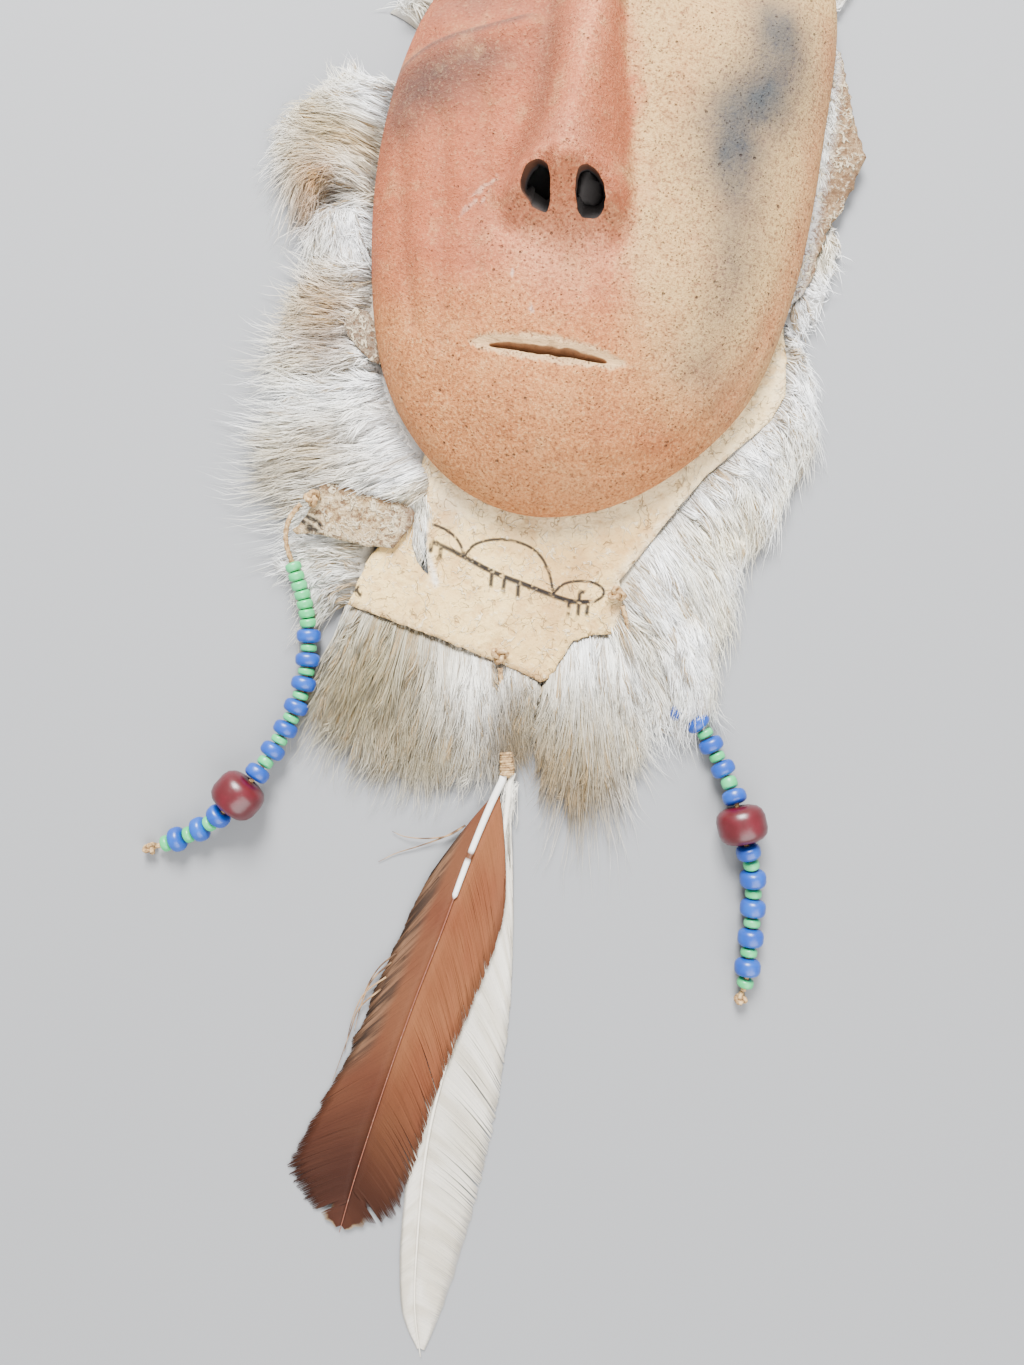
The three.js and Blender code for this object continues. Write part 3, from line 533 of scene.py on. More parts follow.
def suede_material():
    """Rough suede with a curly nap."""
    made = Nodes("rough_suede")
    plan = made.plan()
    nap = made.noise(plan, 560, 5, 0.8)
    curls = crossed_fibres(made, plan, (330, 0.05, 0.3, 0.2), (420, 0.05, 1.7, 0.9))
    colour = made.cover(made.tint(), SUEDE_BROWN, nap, 0.52, 0.4, 0.9)
    colour = made.blend(colour, (240, 222, 188), made.sum(curls, 0.8, "MULTIPLY"))
    colour = made.cover(colour, (246, 230, 202), nap, 0.54, 0.66, 0.75)
    height = made.sum(nap, made.sum(curls, 0.8, "MULTIPLY"))
    return made.finish(made.inked(colour), made.bump(height, 1.0, 0.0022), Roughness=0.95)


def fur_material():
    made = Nodes("rabbit_fur")
    streak = made.noise(made.plan(), 500, 3)
    colour = made.cover(made.tint(), FUR_WHITE, streak, 0.55, 0.8, 0.12)
    return made.finish(colour, Roughness=0.6, Sheen_Weight=0.15, Sheen_Roughness=0.4)


def underfur_material():
    made = Nodes("rabbit_underfur")
    flow = made.flow()
    streak = made.noise(made.stretched(flow, (60.0, 3.0, 1.0)), 5, 4, 0.6)
    fine = made.noise(made.stretched(flow, (220.0, 6.0, 1.0)), 5, 3, 0.6)
    colour = made.cover(made.tint(), FUR_GREY, streak, 0.45, 0.2, 0.3)
    colour = made.cover(colour, FUR_WHITE, fine, 0.5, 0.75, 0.4)
    return made.finish(colour, made.bump(made.sum(streak, fine), 0.5, 0.0008), Roughness=0.8)


def thong_material():
    made = Nodes("twisted_thong")
    plan = made.plan()
    grain = made.noise(plan, 700, 5, 0.7)
    colour = made.blend(THONG_BROWN, THONG_DARK, made.ranged(grain, 0.55, 0.3))
    colour = made.blend(colour, (222, 194, 148), made.ranged(grain, 0.5, 0.72))
    return made.finish(colour, made.bump(grain, 0.7, 0.0005), Roughness=0.8)


def bead_material(name, colour, pale):
    made = Nodes(name)
    plan = made.plan()
    swirl = made.noise(plan, 160, 3)
    speck = made.noise(plan, 900, 2)
    mixed = made.cover(colour, pale, swirl, 0.4, 0.75, 0.35)
    mixed = made.cover(mixed, (236, 232, 222), speck, 0.74, 0.82, 0.35)
    return made.finish(
        mixed, made.bump(swirl, 0.3, 0.0006), Roughness=0.38, Specular_IOR_Level=0.5,
        Coat_Weight=0.25, Coat_Roughness=0.22,
    )


def feather_material():
    made = Nodes("feather_vane")
    fleck = made.noise(made.plan(), 1400, 2)
    colour = made.cover(made.tint(), RUST_DARK, fleck, 0.45, 0.25, 0.15)
    return made.finish(colour, Roughness=0.7, Specular_IOR_Level=0.15)


def quill_material():
    made = Nodes("quill")
    fine = made.noise(made.plan(), 800, 3)
    colour = made.cover(made.tint(), FEATHER_SHADE, fine, 0.55, 0.75, 0.4)
    return made.finish(colour, Roughness=0.4, Coat_Weight=0.2)


def floor_material():
    made = Nodes("pale_floor")
    fine = made.noise(made.plan(), 3, 3)
    colour = made.blend((140, 141, 143), (134, 135, 137), fine)
    return made.finish(colour, Roughness=0.85)


CLAY = clay_material()
CUT = cut_material()
HOLE = hole_material()
HIDE = hide_material()
SUEDE = suede_material()
FUR = fur_material()
UNDERFUR = underfur_material()
THONG = thong_material()
BLUE_GLASS = bead_material("blue_glass", BEAD_BLUE, (4, 98, 194))
GREEN_GLASS = bead_material("green_glass", BEAD_GREEN, (96, 206, 144))
RED_GLASS = bead_material("red_glass", BEAD_RED, (104, 14, 34))
VANE = feather_material()
QUILL = quill_material()


# Camera, light and floor

def set_camera():
    camera = bpy.data.objects.new("camera", bpy.data.cameras.new("camera"))
    camera.data.lens = CAMERA_LENS
    camera.data.clip_start = 0.01
    camera.data.clip_end = 20
    camera.location = world(CAMERA_PLACE)
    camera.rotation_euler = (0, 0, math.radians(CAMERA_TURN))
    bpy.context.scene.collection.objects.link(camera)
    bpy.context.scene.camera = camera


def set_lights():
    for given in LIGHTS:
        light = bpy.data.objects.new(given["name"], bpy.data.lights.new(given["name"], "AREA"))
        light.data.size = given["size"]
        light.data.energy = given["power"]
        light.location = given["place"]
        light.rotation_euler = (-Vector(given["place"])).to_track_quat("-Z", "Y").to_euler()
        bpy.context.scene.collection.objects.link(light)
    sky = bpy.data.worlds.new("soft_room")
    sky.use_nodes = True
    sky.node_tree.nodes["Background"].inputs["Color"].default_value = (1, 1, 1, 1)
    sky.node_tree.nodes["Background"].inputs["Strength"].default_value = ROOM_LIGHT
    bpy.context.scene.world = sky


def set_floor():
    corners = [(-1, -1, 0), (1, -1, 0), (1, 1, 0), (-1, 1, 0)]
    mesh = bpy.data.meshes.new("floor")
    mesh.from_pydata([Vector(corner) * FLOOR_HALF for corner in corners], [], [[0, 1, 2, 3]])
    mesh.materials.append(floor_material())
    floor = bpy.data.objects.new("floor", mesh)
    bpy.context.scene.collection.objects.link(floor)


set_camera()
set_lights()
set_floor()


# Thongs, beads and knots, on the routes that the part's own cords take

THONG_DIAMETER = 1.6
THONG_RADIUS = THONG_DIAMETER * 0.56
TAIL_RADIUS = 0.55
BEAD_GAP = 0.22
BEND_ROOM = 1.9
BEAD_PROFILE = 10
BEAD_SIDES = 22
BLUE = {"name": "blue", "radius": 4.0, "round": 3.2}
BROAD_BLUE = {"name": "blue", "radius": 4.25, "round": 3.2}
GREEN = {"name": "green", "radius": 2.65, "round": 3.6}
RED = {"name": "red", "radius": 8.1, "round": 3.2}
LEFT_ROUTE = [
    (-66.4, 14.8, 11), (-68, 12.4, 10.9), (-69.6, 9, 10.2), (-70, 5, 9.4), (-69.2, 1, 8.4),
    (-67.6, -2.6, 7.4), (-65.9, -6, 6.9), (-64.3, -9.8, 6.3), (-62.4, -13.6, 5.6), (-60.9, -18, 4.9),
    (-59.7, -22.5, 4.3), (-58.8, -28, 4.1), (-58.4, -34, 4.1), (-58.5, -40.5, 4.1), (-59.7, -47.7, 4.1),
    (-62, -55.4, 4.4), (-64.6, -62.4, 5.3), (-66.7, -67.6, 6.7), (-69.1, -72.5, 8.2), (-72.8, -78, 8.2),
    (-76.5, -83.5, 8.2), (-79.1, -86.8, 7), (-81.8, -89.4, 5.8), (-85, -91.9, 4.8), (-91.2, -95.7, 4.1),
    (-95.8, -98.2, 3.5), (-97.6, -99, 3.1),
]
LEFT_START = 19.9
LEFT_TOP_GREENS = 7
TOP_GREEN_LENGTH = 3.03
LEFT_BEADS = [
    (BLUE, 4.5), (GREEN, 2.5), (BLUE, 4.5), (GREEN, 2.5), (BLUE, 4.6), (GREEN, 2.5), (BLUE, 4.6),
    (GREEN, 2.5), (BLUE, 4.6), (GREEN, 2.6), (BLUE, 4.7), (GREEN, 3.1), (BLUE, 4.7), (RED, 12.2),
    (BLUE, 4.7), (GREEN, 2.7), (BLUE, 4.7), (GREEN, 2.8), (BLUE, 4.7), (GREEN, 2.7),
]
RIGHT_ROUTE = [
    (37.8, -1.6, 7.4), (40.6, -7, 6), (43.6, -13.4, 4.6), (46.6, -20, 3.6), (50, -26.4, 3.4),
    (54.6, -29.8, 3.9), (60, -31, 4.1), (64.6, -32.4, 4.1), (68.2, -34.9, 4.1), (71.8, -39.6, 4.1),
    (76.8, -46.8, 4.9), (79.7, -51.6, 6.1), (81.8, -56, 7.5), (83, -58.8, 8.2), (85.3, -64.5, 8.2),
    (87.6, -70.2, 8.2), (89.4, -74.2, 7.5), (91.2, -78.4, 6), (92.4, -83, 5), (93.4, -90, 4.4),
    (94.1, -98, 4.4), (94.3, -106, 4.4), (94.7, -112, 4.4), (94.6, -116.9, 3.2),
]
RIGHT_START = 37.7
RIGHT_BEADS = [
    (BLUE, 4.5), (GREEN, 2.0), (BLUE, 4.6), (GREEN, 2.7), (BLUE, 4.7), (GREEN, 3.0), (BLUE, 4.8),
    (GREEN, 4.0), (BLUE, 4.7), (RED, 12.0), (BLUE, 4.8), (GREEN, 3.0), (BROAD_BLUE, 5.8), (GREEN, 3.0),
    (BROAD_BLUE, 5.8), (GREEN, 3.0), (BROAD_BLUE, 5.9), (GREEN, 3.0), (BROAD_BLUE, 5.8), (GREEN, 2.9),
]
FEATHER_ROUTE = [
    (2.6, -26.6, 7), (4, -33, 5.9), (5.5, -39.5, 4.8), (6.9, -45.5, 3.8), (7.9, -49.8, 3.2),
    (8.3, -51.8, 3),
]
INSIDE_WINDING = [(8.8, -54.6, 3), (9.4, -58.2, 3)]


def bead_shape(kind, length, middle, ahead, jitter):
    """A bead with soft ends, turned about its hole, at its place on the thong."""
    half = length / 2
    angle = np.linspace(-math.pi / 2, math.pi / 2, BEAD_PROFILE)
    power = 2 / kind["round"]
    across = kind["radius"] * np.abs(np.cos(angle)) ** power * jitter
    across = np.concatenate([np.maximum(across, THONG_RADIUS), [THONG_RADIUS * 0.9] * 2])
    up = half * np.sign(np.sin(angle)) * np.abs(np.sin(angle)) ** power
    up = np.concatenate([up, [half * 0.7, -half * 0.7]])
    side = unit(np.cross([0.0, 0.0, 1.0], ahead))
    turn = np.linspace(0, 2 * math.pi, BEAD_SIDES, endpoint=False)
    ring = np.cos(turn)[:, None] * side + np.sin(turn)[:, None] * np.cross(ahead, side)
    points = middle + up[:, None, None] * ahead + across[:, None, None] * ring[None]
    faces = grid_faces(len(across), BEAD_SIDES, closed=True).tolist()
    last = (len(across) - 1) * BEAD_SIDES
    for at in range(BEAD_SIDES):
        after = (at + 1) % BEAD_SIDES
        faces.append([last + at, last + after, after, at])
    return points.reshape(-1, 3), faces


def thread(route, start, beads, first_greens):
    """Bead shapes by colour along a thong's route."""
    path = spline(route)
    whole = lengths_of(path)[-1]
    shapes = {"blue": [], "green": [], "red": []}
    random = np.random.default_rng(len(route))

    def ahead(at):
        return unit(along(path, min(at + 0.4, whole)) - along(path, max(at - 0.4, 0)))

    def set_bead(kind, length, at):
        low, high = along(path, at), along(path, min(at + length, whole))
        turned = unit(unit(high - low) + random.normal(0, 0.03, 3))
        jitter = 1 + random.uniform(-0.04, 0.01)
        shapes[kind["name"]].append(bead_shape(kind, length, (low + high) / 2, turned, jitter))

    for count in range(first_greens):
        set_bead(GREEN, TOP_GREEN_LENGTH - 0.05, start + count * TOP_GREEN_LENGTH)
    at = start
    if first_greens:
        at += first_greens * TOP_GREEN_LENGTH + BEAD_GAP + 0.15
    for index, (kind, length) in enumerate(beads):
        set_bead(kind, length, at)
        after = beads[index + 1][1] if index + 1 < len(beads) else 0
        turn = ahead(min(at + length / 2, whole)) @ ahead(min(at + length + after / 2, whole))
        at += length + BEAD_GAP + BEND_ROOM * math.acos(min(1.0, turn))
    return shapes


def knot_shape(centre, half, strand, turn):
    """A tight overhand knot of one strand."""
    angle = np.linspace(0, 2 * math.pi, 90)
    x = (np.sin(angle) + 2 * np.sin(2 * angle)) / 3
    y = (np.cos(angle) - 2 * np.cos(2 * angle)) / 3
    z = -np.sin(3 * angle)
    turned_x = x * math.cos(turn) - y * math.sin(turn)
    turned_y = x * math.sin(turn) + y * math.cos(turn)
    room = np.asarray(half) - strand
    path = np.stack([turned_x * room[0], turned_y * room[1], z * room[2]], axis=-1) + centre
    return tube(path, strand, 8, lobes=2, lobe_depth=0.3, pitch=4.0)


def tail_shape(points):
    """A loose end of a thong, thin at its tip."""
    path = spline(points, steps=8)
    taper = TAIL_RADIUS * np.linspace(1, 0.35, len(path))
    return tube(path, taper, 8, lobes=2, lobe_depth=0.35, pitch=3.2)


def thong_piece(name, route):
    path = spline(route)
    whole = lengths_of(path)[-1]
    path = along(path, np.linspace(0, whole, int(whole / 0.8)))
    points, faces = tube(path, THONG_RADIUS, 12, lobes=2, lobe_depth=0.3, pitch=5.0)
    piece = place(new_object(name + "_twisted", points, faces, [THONG]), "thong", name)


def string_pieces(side, route, start, beads, first_greens, end_knot):
    shapes = thread(route, start, beads, first_greens)
    glass = {"blue": BLUE_GLASS, "green": GREEN_GLASS, "red": RED_GLASS}
    for colour, several in shapes.items():
        points, faces = merged(several)
        piece = new_object(f"{side}_{colour}_beads", points, faces, [glass[colour]])
        nodes = [n for n in frame["nodes"] if n.startswith(f"{side}_{colour}_")]
        if colour == "green" and first_greens:
            nodes.append("left_top_greens")
        place(piece, f"{colour}_glass", *nodes)
    knot = new_object(f"{side}_end_overhand_knot", *merged(end_knot), [THONG])
    place(knot, "thong", f"{side}_end_knot")
    thong_piece(f"{side}_thong", route)


WINDING_CENTRE = np.array([9.3, -56.6, 3.0])
WINDING_AHEAD = np.array([0.17, -0.985, 0.0])
WINDING_SIDE = np.array([0.985, 0.17, 0.0])
WINDING_LENGTH = 7.4
WINDING_TURNS = 9
WINDING_REACH = 1.95
WINDING_CORE = 1.75 * np.array([0.5, 0.8, 1, 1, 1, 1, 1, 1, 1, 0.95, 0.8, 0.6])


def binding_shape():
    """Thong wound round the feathers' quills."""
    turn = np.linspace(0, WINDING_TURNS * 2 * math.pi, WINDING_TURNS * 22)
    reach = WINDING_REACH + 0.12 * np.sin(turn * 0.37)
    path = WINDING_CENTRE + np.outer((turn / turn[-1] - 0.5) * WINDING_LENGTH, WINDING_AHEAD)
    path = path + np.outer(np.cos(turn) * reach, WINDING_SIDE)
    path = path + np.outer(np.sin(turn) * reach, [0, 0, 1])
    core = WINDING_CENTRE + np.outer(np.linspace(-4.2, 4.2, len(WINDING_CORE)), WINDING_AHEAD)
    return merged([tube(path, 0.5, 7), tube(core, WINDING_CORE, 14)])


string_pieces(
    "left", LEFT_ROUTE, LEFT_START, LEFT_BEADS, LEFT_TOP_GREENS,
    [
        knot_shape((-99.7, -100.1, 2.5), (2.5, 2.3, 2.2), 0.85, 0.6),
        tail_shape([(-100.5, -100.3, 3), (-102, -101.4, 2.4)]),
    ],
)
string_pieces(
    "right", RIGHT_ROUTE, RIGHT_START, RIGHT_BEADS, 0,
    [
        knot_shape((94.4, -119.6, 2.6), (2.3, 2.5, 2.3), 0.85, 1.1),
        tail_shape([(94.5, -120.5, 3), (94.9, -122, 2.3)]),
    ],
)
winding = place(new_object("feather_winding", *binding_shape(), [THONG]), "thong", "feather_binding")
thong_piece("feather_thong", FEATHER_ROUTE + INSIDE_WINDING)


# The clay face

CLAY_BASE = 6.3
CLAY_WALL = 6.0
CLAY_LIP = 3.0
LIP_INSET = 1.2
RIM_WIDTH = CLAY_WALL + 0.5
DOME_RISE = 28.0
DOME_FALL = 2.4
DOME_ROUND = 0.6
MASK_OUTLINE = [
    (2, 22), (25.7, 26.8), (48, 42), (66.8, 66), (76, 100), (78.5, 150), (75.5, 196), (56, 232),
    (18, 248.6), (-18, 231), (-43, 192), (-56.5, 150), (-57.4, 104), (-45, 54.6), (-22, 29.6),
]
NOSE_TIP = np.array([-0.8, 114.5])
NOSE_TOP = np.array([5.5, 197.0])
NOSE_BASE_Y = 98.5
NOSE_TIP_RISE = 19.5
NOSE_TOP_RISE = 2.0
NOSE_LEFT_WIDTH = 15.0
NOSE_RIGHT_WIDTH = 22.0
NOSE_RIGHT_WIDTH_AT_TOP = 8.0
NOSE_NARROW_Y = 166.0
NOSE_FADE = 14.0
NOSE_HOLLOW = 0.5
WINGS = [(-12, 107.5), (16.5, 108.5)]
WING_RISE = 4.5
WING_RADIUS = 6.5
NOSTRIL_SLOPE = 0.37
NOSTRIL_LEVEL = 46.0
NOSTRILS = [
    [
        (-7.4, 113.7), (-5.0, 112.9), (-3.3, 110.6), (-2.7, 106.8), (-2.5, 102.4), (-3.4, 100.2),
        (-5.8, 101.0), (-8.8, 102.4), (-11.1, 104.9), (-11.8, 107.7), (-11.0, 110.7), (-9.5, 112.7),
    ],
    [
        (6.2, 114.1), (8.5, 113.8), (10.8, 111.6), (12.4, 108.4), (12.8, 104.9), (11.8, 101.3),
        (10.2, 99.8), (7.2, 99.7), (5.4, 102.0), (4.3, 105.8), (3.9, 109.8), (4.2, 112.9),
    ],
]
NOSTRIL_LEDGES = (2.0, 0.6)
NOSTRIL_DEPTHS = (-12, -7, -2, 2, 5, 6.5, 8, 10, 14, 20, 27)
CHIN_CENTRE = (3, 44)
CHIN_RISE = 3.0
CHIN_RADIUS = 20.0
SOCKETS = [
    {"centre": (-30, 178), "half": (25, 20), "depth": 5.0},
    {"centre": (40, 186), "half": (25, 17), "depth": 5.0},
]
SOCKET_CREASE = [
    (-58, 150), (-53.3, 151.3), (-46.2, 154), (-36.9, 155.7), (-28.1, 157.7), (-15.6, 161.2),
]
CREASE_DEPTH = 1.7
MOUTH_CENTRE = (3.2, 66.0)
MOUTH_HALF = 24.2
MOUTH_RISE = 4.7
MOUTH_BEVEL = 3.6
# The levels of a cut: half length, rise above and below its middle, shift, height over the clay
MOUTH_LEVELS = [
    (24.0, 4.7, 1.3, 0.0, 2.5), (23.2, 4.1, 1.2, 0.0, 0.0), (21.0, 3.0, 1.1, 0.0, -0.7),
    (17.5, 1.9, 1.1, -0.1, -1.2), (17.2, 1.7, 1.1, -0.1, -1.8), (15.2, 0.7, 0.7, -0.6, -4.4),
    (13.6, 0.4, 0.4, -1.0, -8.0), (13.6, 0.4, 0.4, -1.0, -16.0),
]
EYE_CENTRES = [(-23, 179), (36.5, 183.5)]
EYE_LEVELS = [
    (13.8, 4.0, 2.6, 0.0, 2.5), (13.5, 3.6, 2.6, 0.0, 0.2), (12.6, 2.6, 2.6, 0.0, -0.9),
    (12.6, 3.0, 2.0, 0.0, -2.0), (11.5, 2.0, 2.0, 0.0, -5.0), (11.5, 2.0, 2.0, 0.0, -14.0),
]
NOSE_GROOVES = [
    {
        "line": [
            (-9.5, 176), (-10.4, 164), (-9.7, 152), (-8.9, 139), (-9.9, 128), (-12.9, 120.7),
            (-16.2, 114), (-17.3, 106), (-14.5, 98.6),
        ],
        "depth": 1.7, "width": 3.2,
    },
    {
        "line": [
            (9.5, 176), (13.7, 154), (16.7, 141), (19.2, 130), (20.6, 120), (20.8, 109), (17.4, 100.4),
        ],
        "depth": 1.2, "width": 3.4,
    },
    {"line": [(-12.5, 97.4), (-4, 95.8), (4, 95), (12, 96), (17, 99.4)], "depth": 0.4, "width": 2.6},
]
CHEEK_FURROWS = [
    {"line": [(-50.6, 127), (-46.6, 107), (-43.2, 89), (-38, 72)], "depth": 1.0, "width": 2.4},
    {"line": [(-38.6, 131), (-33.6, 106), (-30.6, 78), (-29, 66)], "depth": 1.1, "width": 3.2},
    {"line": [(-28.6, 140), (-24.4, 122), (-21.4, 104), (-22, 88)], "depth": 1.3, "width": 3.4},
]
RIM_BEVEL = [
    {
        "line": [(24, 37), (42, 45), (54, 57), (62, 70), (67.5, 86), (70.5, 104)],
        "depth": 0.7, "width": 2.6,
    },
]
FACE_SIDES = 360
FACE_RINGS = 128
LIP_RINGS = 7
HOLLOW_RINGS = 22

outline_points = spline(MASK_OUTLINE, closed=True, steps=48)[:, :2] - NOSE_TIP
outline_angles = np.arctan2(outline_points[:, 1], outline_points[:, 0])
outline_order = np.argsort(outline_angles)
outline_reaches = np.hypot(*outline_points.T)[outline_order]
outline_angles = outline_angles[outline_order]


def mask_reach(angle):
    """Distance from the tip of the nose to the mask's edge in each direction."""
    return np.interp(angle, outline_angles, outline_reaches, period=2 * math.pi)


def from_tip(angle, reach):
    """Plan places in directions and at distances from the tip of the nose."""
    return NOSE_TIP[0] + reach * np.cos(angle), NOSE_TIP[1] + reach * np.sin(angle)


def mask_edge(angle, out):
    """Plan points a distance outside the mask's edge."""
    return np.stack(from_tip(angle, mask_reach(angle) + out), axis=-1)


def tip_distance(x, y):
    """Distance from the tip of the nose, and the mask's reach in that direction."""
    aside, up = x - NOSE_TIP[0], y - NOSE_TIP[1]
    return np.hypot(aside, up), mask_reach(np.arctan2(up, aside))


def nose_rise(x, y):
    up = (y - NOSE_TIP[1]) / (NOSE_TOP[1] - NOSE_TIP[1])
    crest = NOSE_TIP[0] + (NOSE_TOP[0] - NOSE_TIP[0]) * up
    narrow = np.clip((y - NOSE_TIP[1]) / (NOSE_NARROW_Y - NOSE_TIP[1]), 0, 1)
    right = NOSE_RIGHT_WIDTH + (NOSE_RIGHT_WIDTH_AT_TOP - NOSE_RIGHT_WIDTH) * narrow
    aside = np.abs(x - crest) / np.where(x < crest, NOSE_LEFT_WIDTH, right)
    rise = NOSE_TIP_RISE + (NOSE_TOP_RISE - NOSE_TIP_RISE) * np.clip(up, 0, 1)
    under = smooth((y - NOSE_BASE_Y) / (NOSE_TIP[1] - NOSE_BASE_Y))
    over = 1 - smooth((y - NOSE_TOP[1]) / NOSE_FADE)
    return rise * under * over * (1 - np.clip(aside, 0, 1) ** 1.5) ** 1.3


def lump(x, y, centre, radius):
    return np.exp(-((x - centre[0]) ** 2 + (y - centre[1]) ** 2) / radius**2)


def oval(x, y, centre, half):
    """0 at the centre of an oval and 1 on its edge."""
    return ((x - centre[0]) / half[0]) ** 2 + ((y - centre[1]) / half[1]) ** 2


def socket_depth(x, y):
    depth = 0.0
    for socket in SOCKETS:
        away = oval(x, y, socket["centre"], socket["half"])
        depth = depth + socket["depth"] * np.maximum(0, 1 - away) ** 1.5
    return depth


def face_relief(x, y):
    relief = CHIN_RISE * lump(x, y, CHIN_CENTRE, CHIN_RADIUS) - socket_depth(x, y)
    for centre in WINGS:
        relief = relief + WING_RISE * lump(x, y, centre, WING_RADIUS)
    return relief


def grooved(x, y, grooves):
    """Depth of soft grooves drawn along lines."""
    depth = 0.0
    for groove in grooves:
        nearest = distance_to(x, y, spline(groove["line"], steps=4))
        depth = depth + groove["depth"] * bell(nearest / groove["width"])
    return depth


def nostril_gap(x, y):
    """Distance in plan to the nearest nostril's edge."""
    edges = [np.array([*outline, outline[0]]) - (0, 0.8) for outline in NOSTRILS]
    return np.min([distance_to(x, y, edge) for edge in edges], axis=0)


def mouth_share(x, y):
    """1 inside the lens that the knife opened at the mouth, with its bevel below, 0 outside."""
    across = (x - MOUTH_CENTRE[0]) / MOUTH_HALF
    reach = np.maximum(0, 1 - across**2) ** 0.62
    ragged = 0.5 * noise2(x, y, 2.2, 45) + 0.3 * noise2(x, y, 0.9, 46)
    above = MOUTH_RISE * reach - (y - MOUTH_CENTRE[1]) + ragged
    below = MOUTH_BEVEL * reach + (y - MOUTH_CENTRE[1]) + ragged
    return smooth(np.minimum(above, below) / 0.7)


def above_crease(x, y):
    """Plan distance up from the crease below the left eye."""
    return y - np.interp(x, *np.array(SOCKET_CREASE).T)


def finger_marks(x, y):
    """Low hand-made relief: bands, dents, furrows, the socket's crease, nicks at the nostrils."""
    left = smooth((-6 - x) / 10)
    bands = noise2(x + 0.25 * y, y * 0.28, 8, 11) * 0.45 * left
    dents = rough2(x, y, 26, 21, 3) * 0.9 + rough2(x, y, 7, 23, 2) * 0.16
    above = above_crease(x, y)
    crease = -CREASE_DEPTH * smooth(above / 3) * left * (1 - smooth((above - 14) / 18))
    crease = crease + 0.8 * left * bell((above + 3.0) / 3.6)
    tooled = bell((nostril_gap(x, y) - 2.0) / 2.4)
    nicks = (rough2(x, y, 2.6, 31, 2) * 0.75 + 0.35) * tooled
    bevel = -0.55 * mouth_share(x, y)
    rim_bevel = -grooved(x, y, RIM_BEVEL)
    grain = noise2(x, y, 1.6, 41) * 0.09
    lines = -grooved(x, y, NOSE_GROOVES) - grooved(x, y, CHEEK_FURROWS)
    return bands + dents + crease + nicks + bevel + rim_bevel + grain + lines


def dome_rise(share):
    return np.maximum(0, 1 - share**DOME_FALL) ** DOME_ROUND


def clay_top(x, y, fine=True):
    away, whole = tip_distance(x, y)
    share = away / whole
    height = CLAY_BASE + CLAY_LIP + DOME_RISE * dome_rise(share) + face_relief(x, y) + nose_rise(x, y)
    if fine:
        height = height + finger_marks(x, y) * smooth((1 - share) / 0.06)
    return height


# Patches of other colours: middle, half size, colour and strength. The pale patch at (3, 98) is painted
# light that lifts the shade under the nose; the one at (0.6, 105) is partly the clay's colour there and
# partly such painted light.
CLAY_PATCHES = [
    ((-45, 118), (9, 26), (167, 91, 52), 0.5), ((-30, 96), (12, 16), (157, 79, 45), 0.5),
    ((-20, 122), (8, 16), (167, 92, 57), 0.5), ((-15, 104), (6, 10), (156, 85, 53), 0.15),
    ((1.5, 150), (5, 26), (190, 116, 78), 0.8), ((-9.8, 150), (4.2, 28), (108, 63, 41), 0.55),
    ((12, 140), (5, 34), (158, 88, 54), 0.4), ((0, 120), (6.5, 6), (182, 114, 84), 0.6),
    # (0.6, 105): partly painted light against the shade under the nose
    ((0.6, 105), (3.4, 8), (189, 116, 76), 0.7), ((2, 89), (20, 10), (190, 122, 84), 0.7),
    ((20, 84), (7, 6), (165, 87, 52), 0.25), ((14, 56), (22, 8), (172, 115, 65), 0.5),
    ((-8, 46), (20, 12), (165, 105, 57), 0.45), ((38, 48), (8, 5), (161, 87, 46), 0.5),
    ((44, 94), (14, 18), (179, 139, 86), 0.4), ((60, 60), (10, 16), (167, 113, 66), 0.5),
    ((-44, 142), (15, 11), (48, 38, 38), 0.96), ((-50, 136), (8, 13), (70, 48, 42), 0.6),
    ((-29, 148), (14, 7), (62, 46, 40), 0.6), ((-34, 172), (22, 11), (80, 58, 50), 0.5),
    # (3, 98): painted light under the nose
    ((3, 30), (42, 9), (184, 126, 78), 0.4), ((3, 98), (21, 8), (200, 132, 96), 0.6),
    ((30, 150), (8, 34), (175, 130, 78), 0.4),
]


# The line between the red side and the cream side, and the red flush along the right edge
EDGE_Y = [70, 76, 82, 90, 94, 100, 111, 120, 134, 152, 169, 200]
EDGE_X = [33, 30, 27, 23.5, 20.4, 22.3, 22.8, 21.6, 18.9, 15.5, 11, 8]
FLUSH_LINE = [(76, 180), (76.6, 152), (76, 134), (74.6, 112), (69, 88), (60, 62)]


def clay_tint(x, y):
    """Colour zones of the fired clay, as linear colours."""
    drift = rough2(x, y, 9, 51, 3)
    edge = np.interp(y, EDGE_Y, EDGE_X) + drift * 5.5 + noise2(x, y, 3.2, 55) * 1.8
    softness = 4.4 + 10 * smooth((98 - y) / 20)
    cream = smooth(0.5 + (x - edge) / (2 * softness)) * smooth((y - 46 + drift * 8) / 34)
    wide = rough2(x, y, 24, 61, 3)
    red = painted(linear(RED_CLAY), ORANGE_CLAY, smooth(0.35 + wide * 0.7 + (84 - y) / 50))
    colour = painted(red, CREAM_CLAY, np.clip(cream, 0, 1))
    for spot, half, patch, strength in CLAY_PATCHES:
        share = strength * np.exp(-oval(x, y, spot, half)) * (1 + 0.35 * drift)
        colour = painted(colour, patch, share)
    small = rough2(x, y, 5, 57, 3)
    colour = painted(colour, BROWN_CLAY, 0.16 * smooth(small * 1.6 - 0.1))
    colour = painted(colour, (190, 148, 100), 0.22 * smooth(-small * 1.6 - 0.1))
    flush = smooth(1 - distance_to(x, y, spline(FLUSH_LINE, steps=6)) / 9)
    colour = painted(colour, (164, 102, 60), 0.75 * flush * (0.8 + 0.4 * drift))
    return np.column_stack([touched(colour, x, y), smoke_left(x, y, drift)])


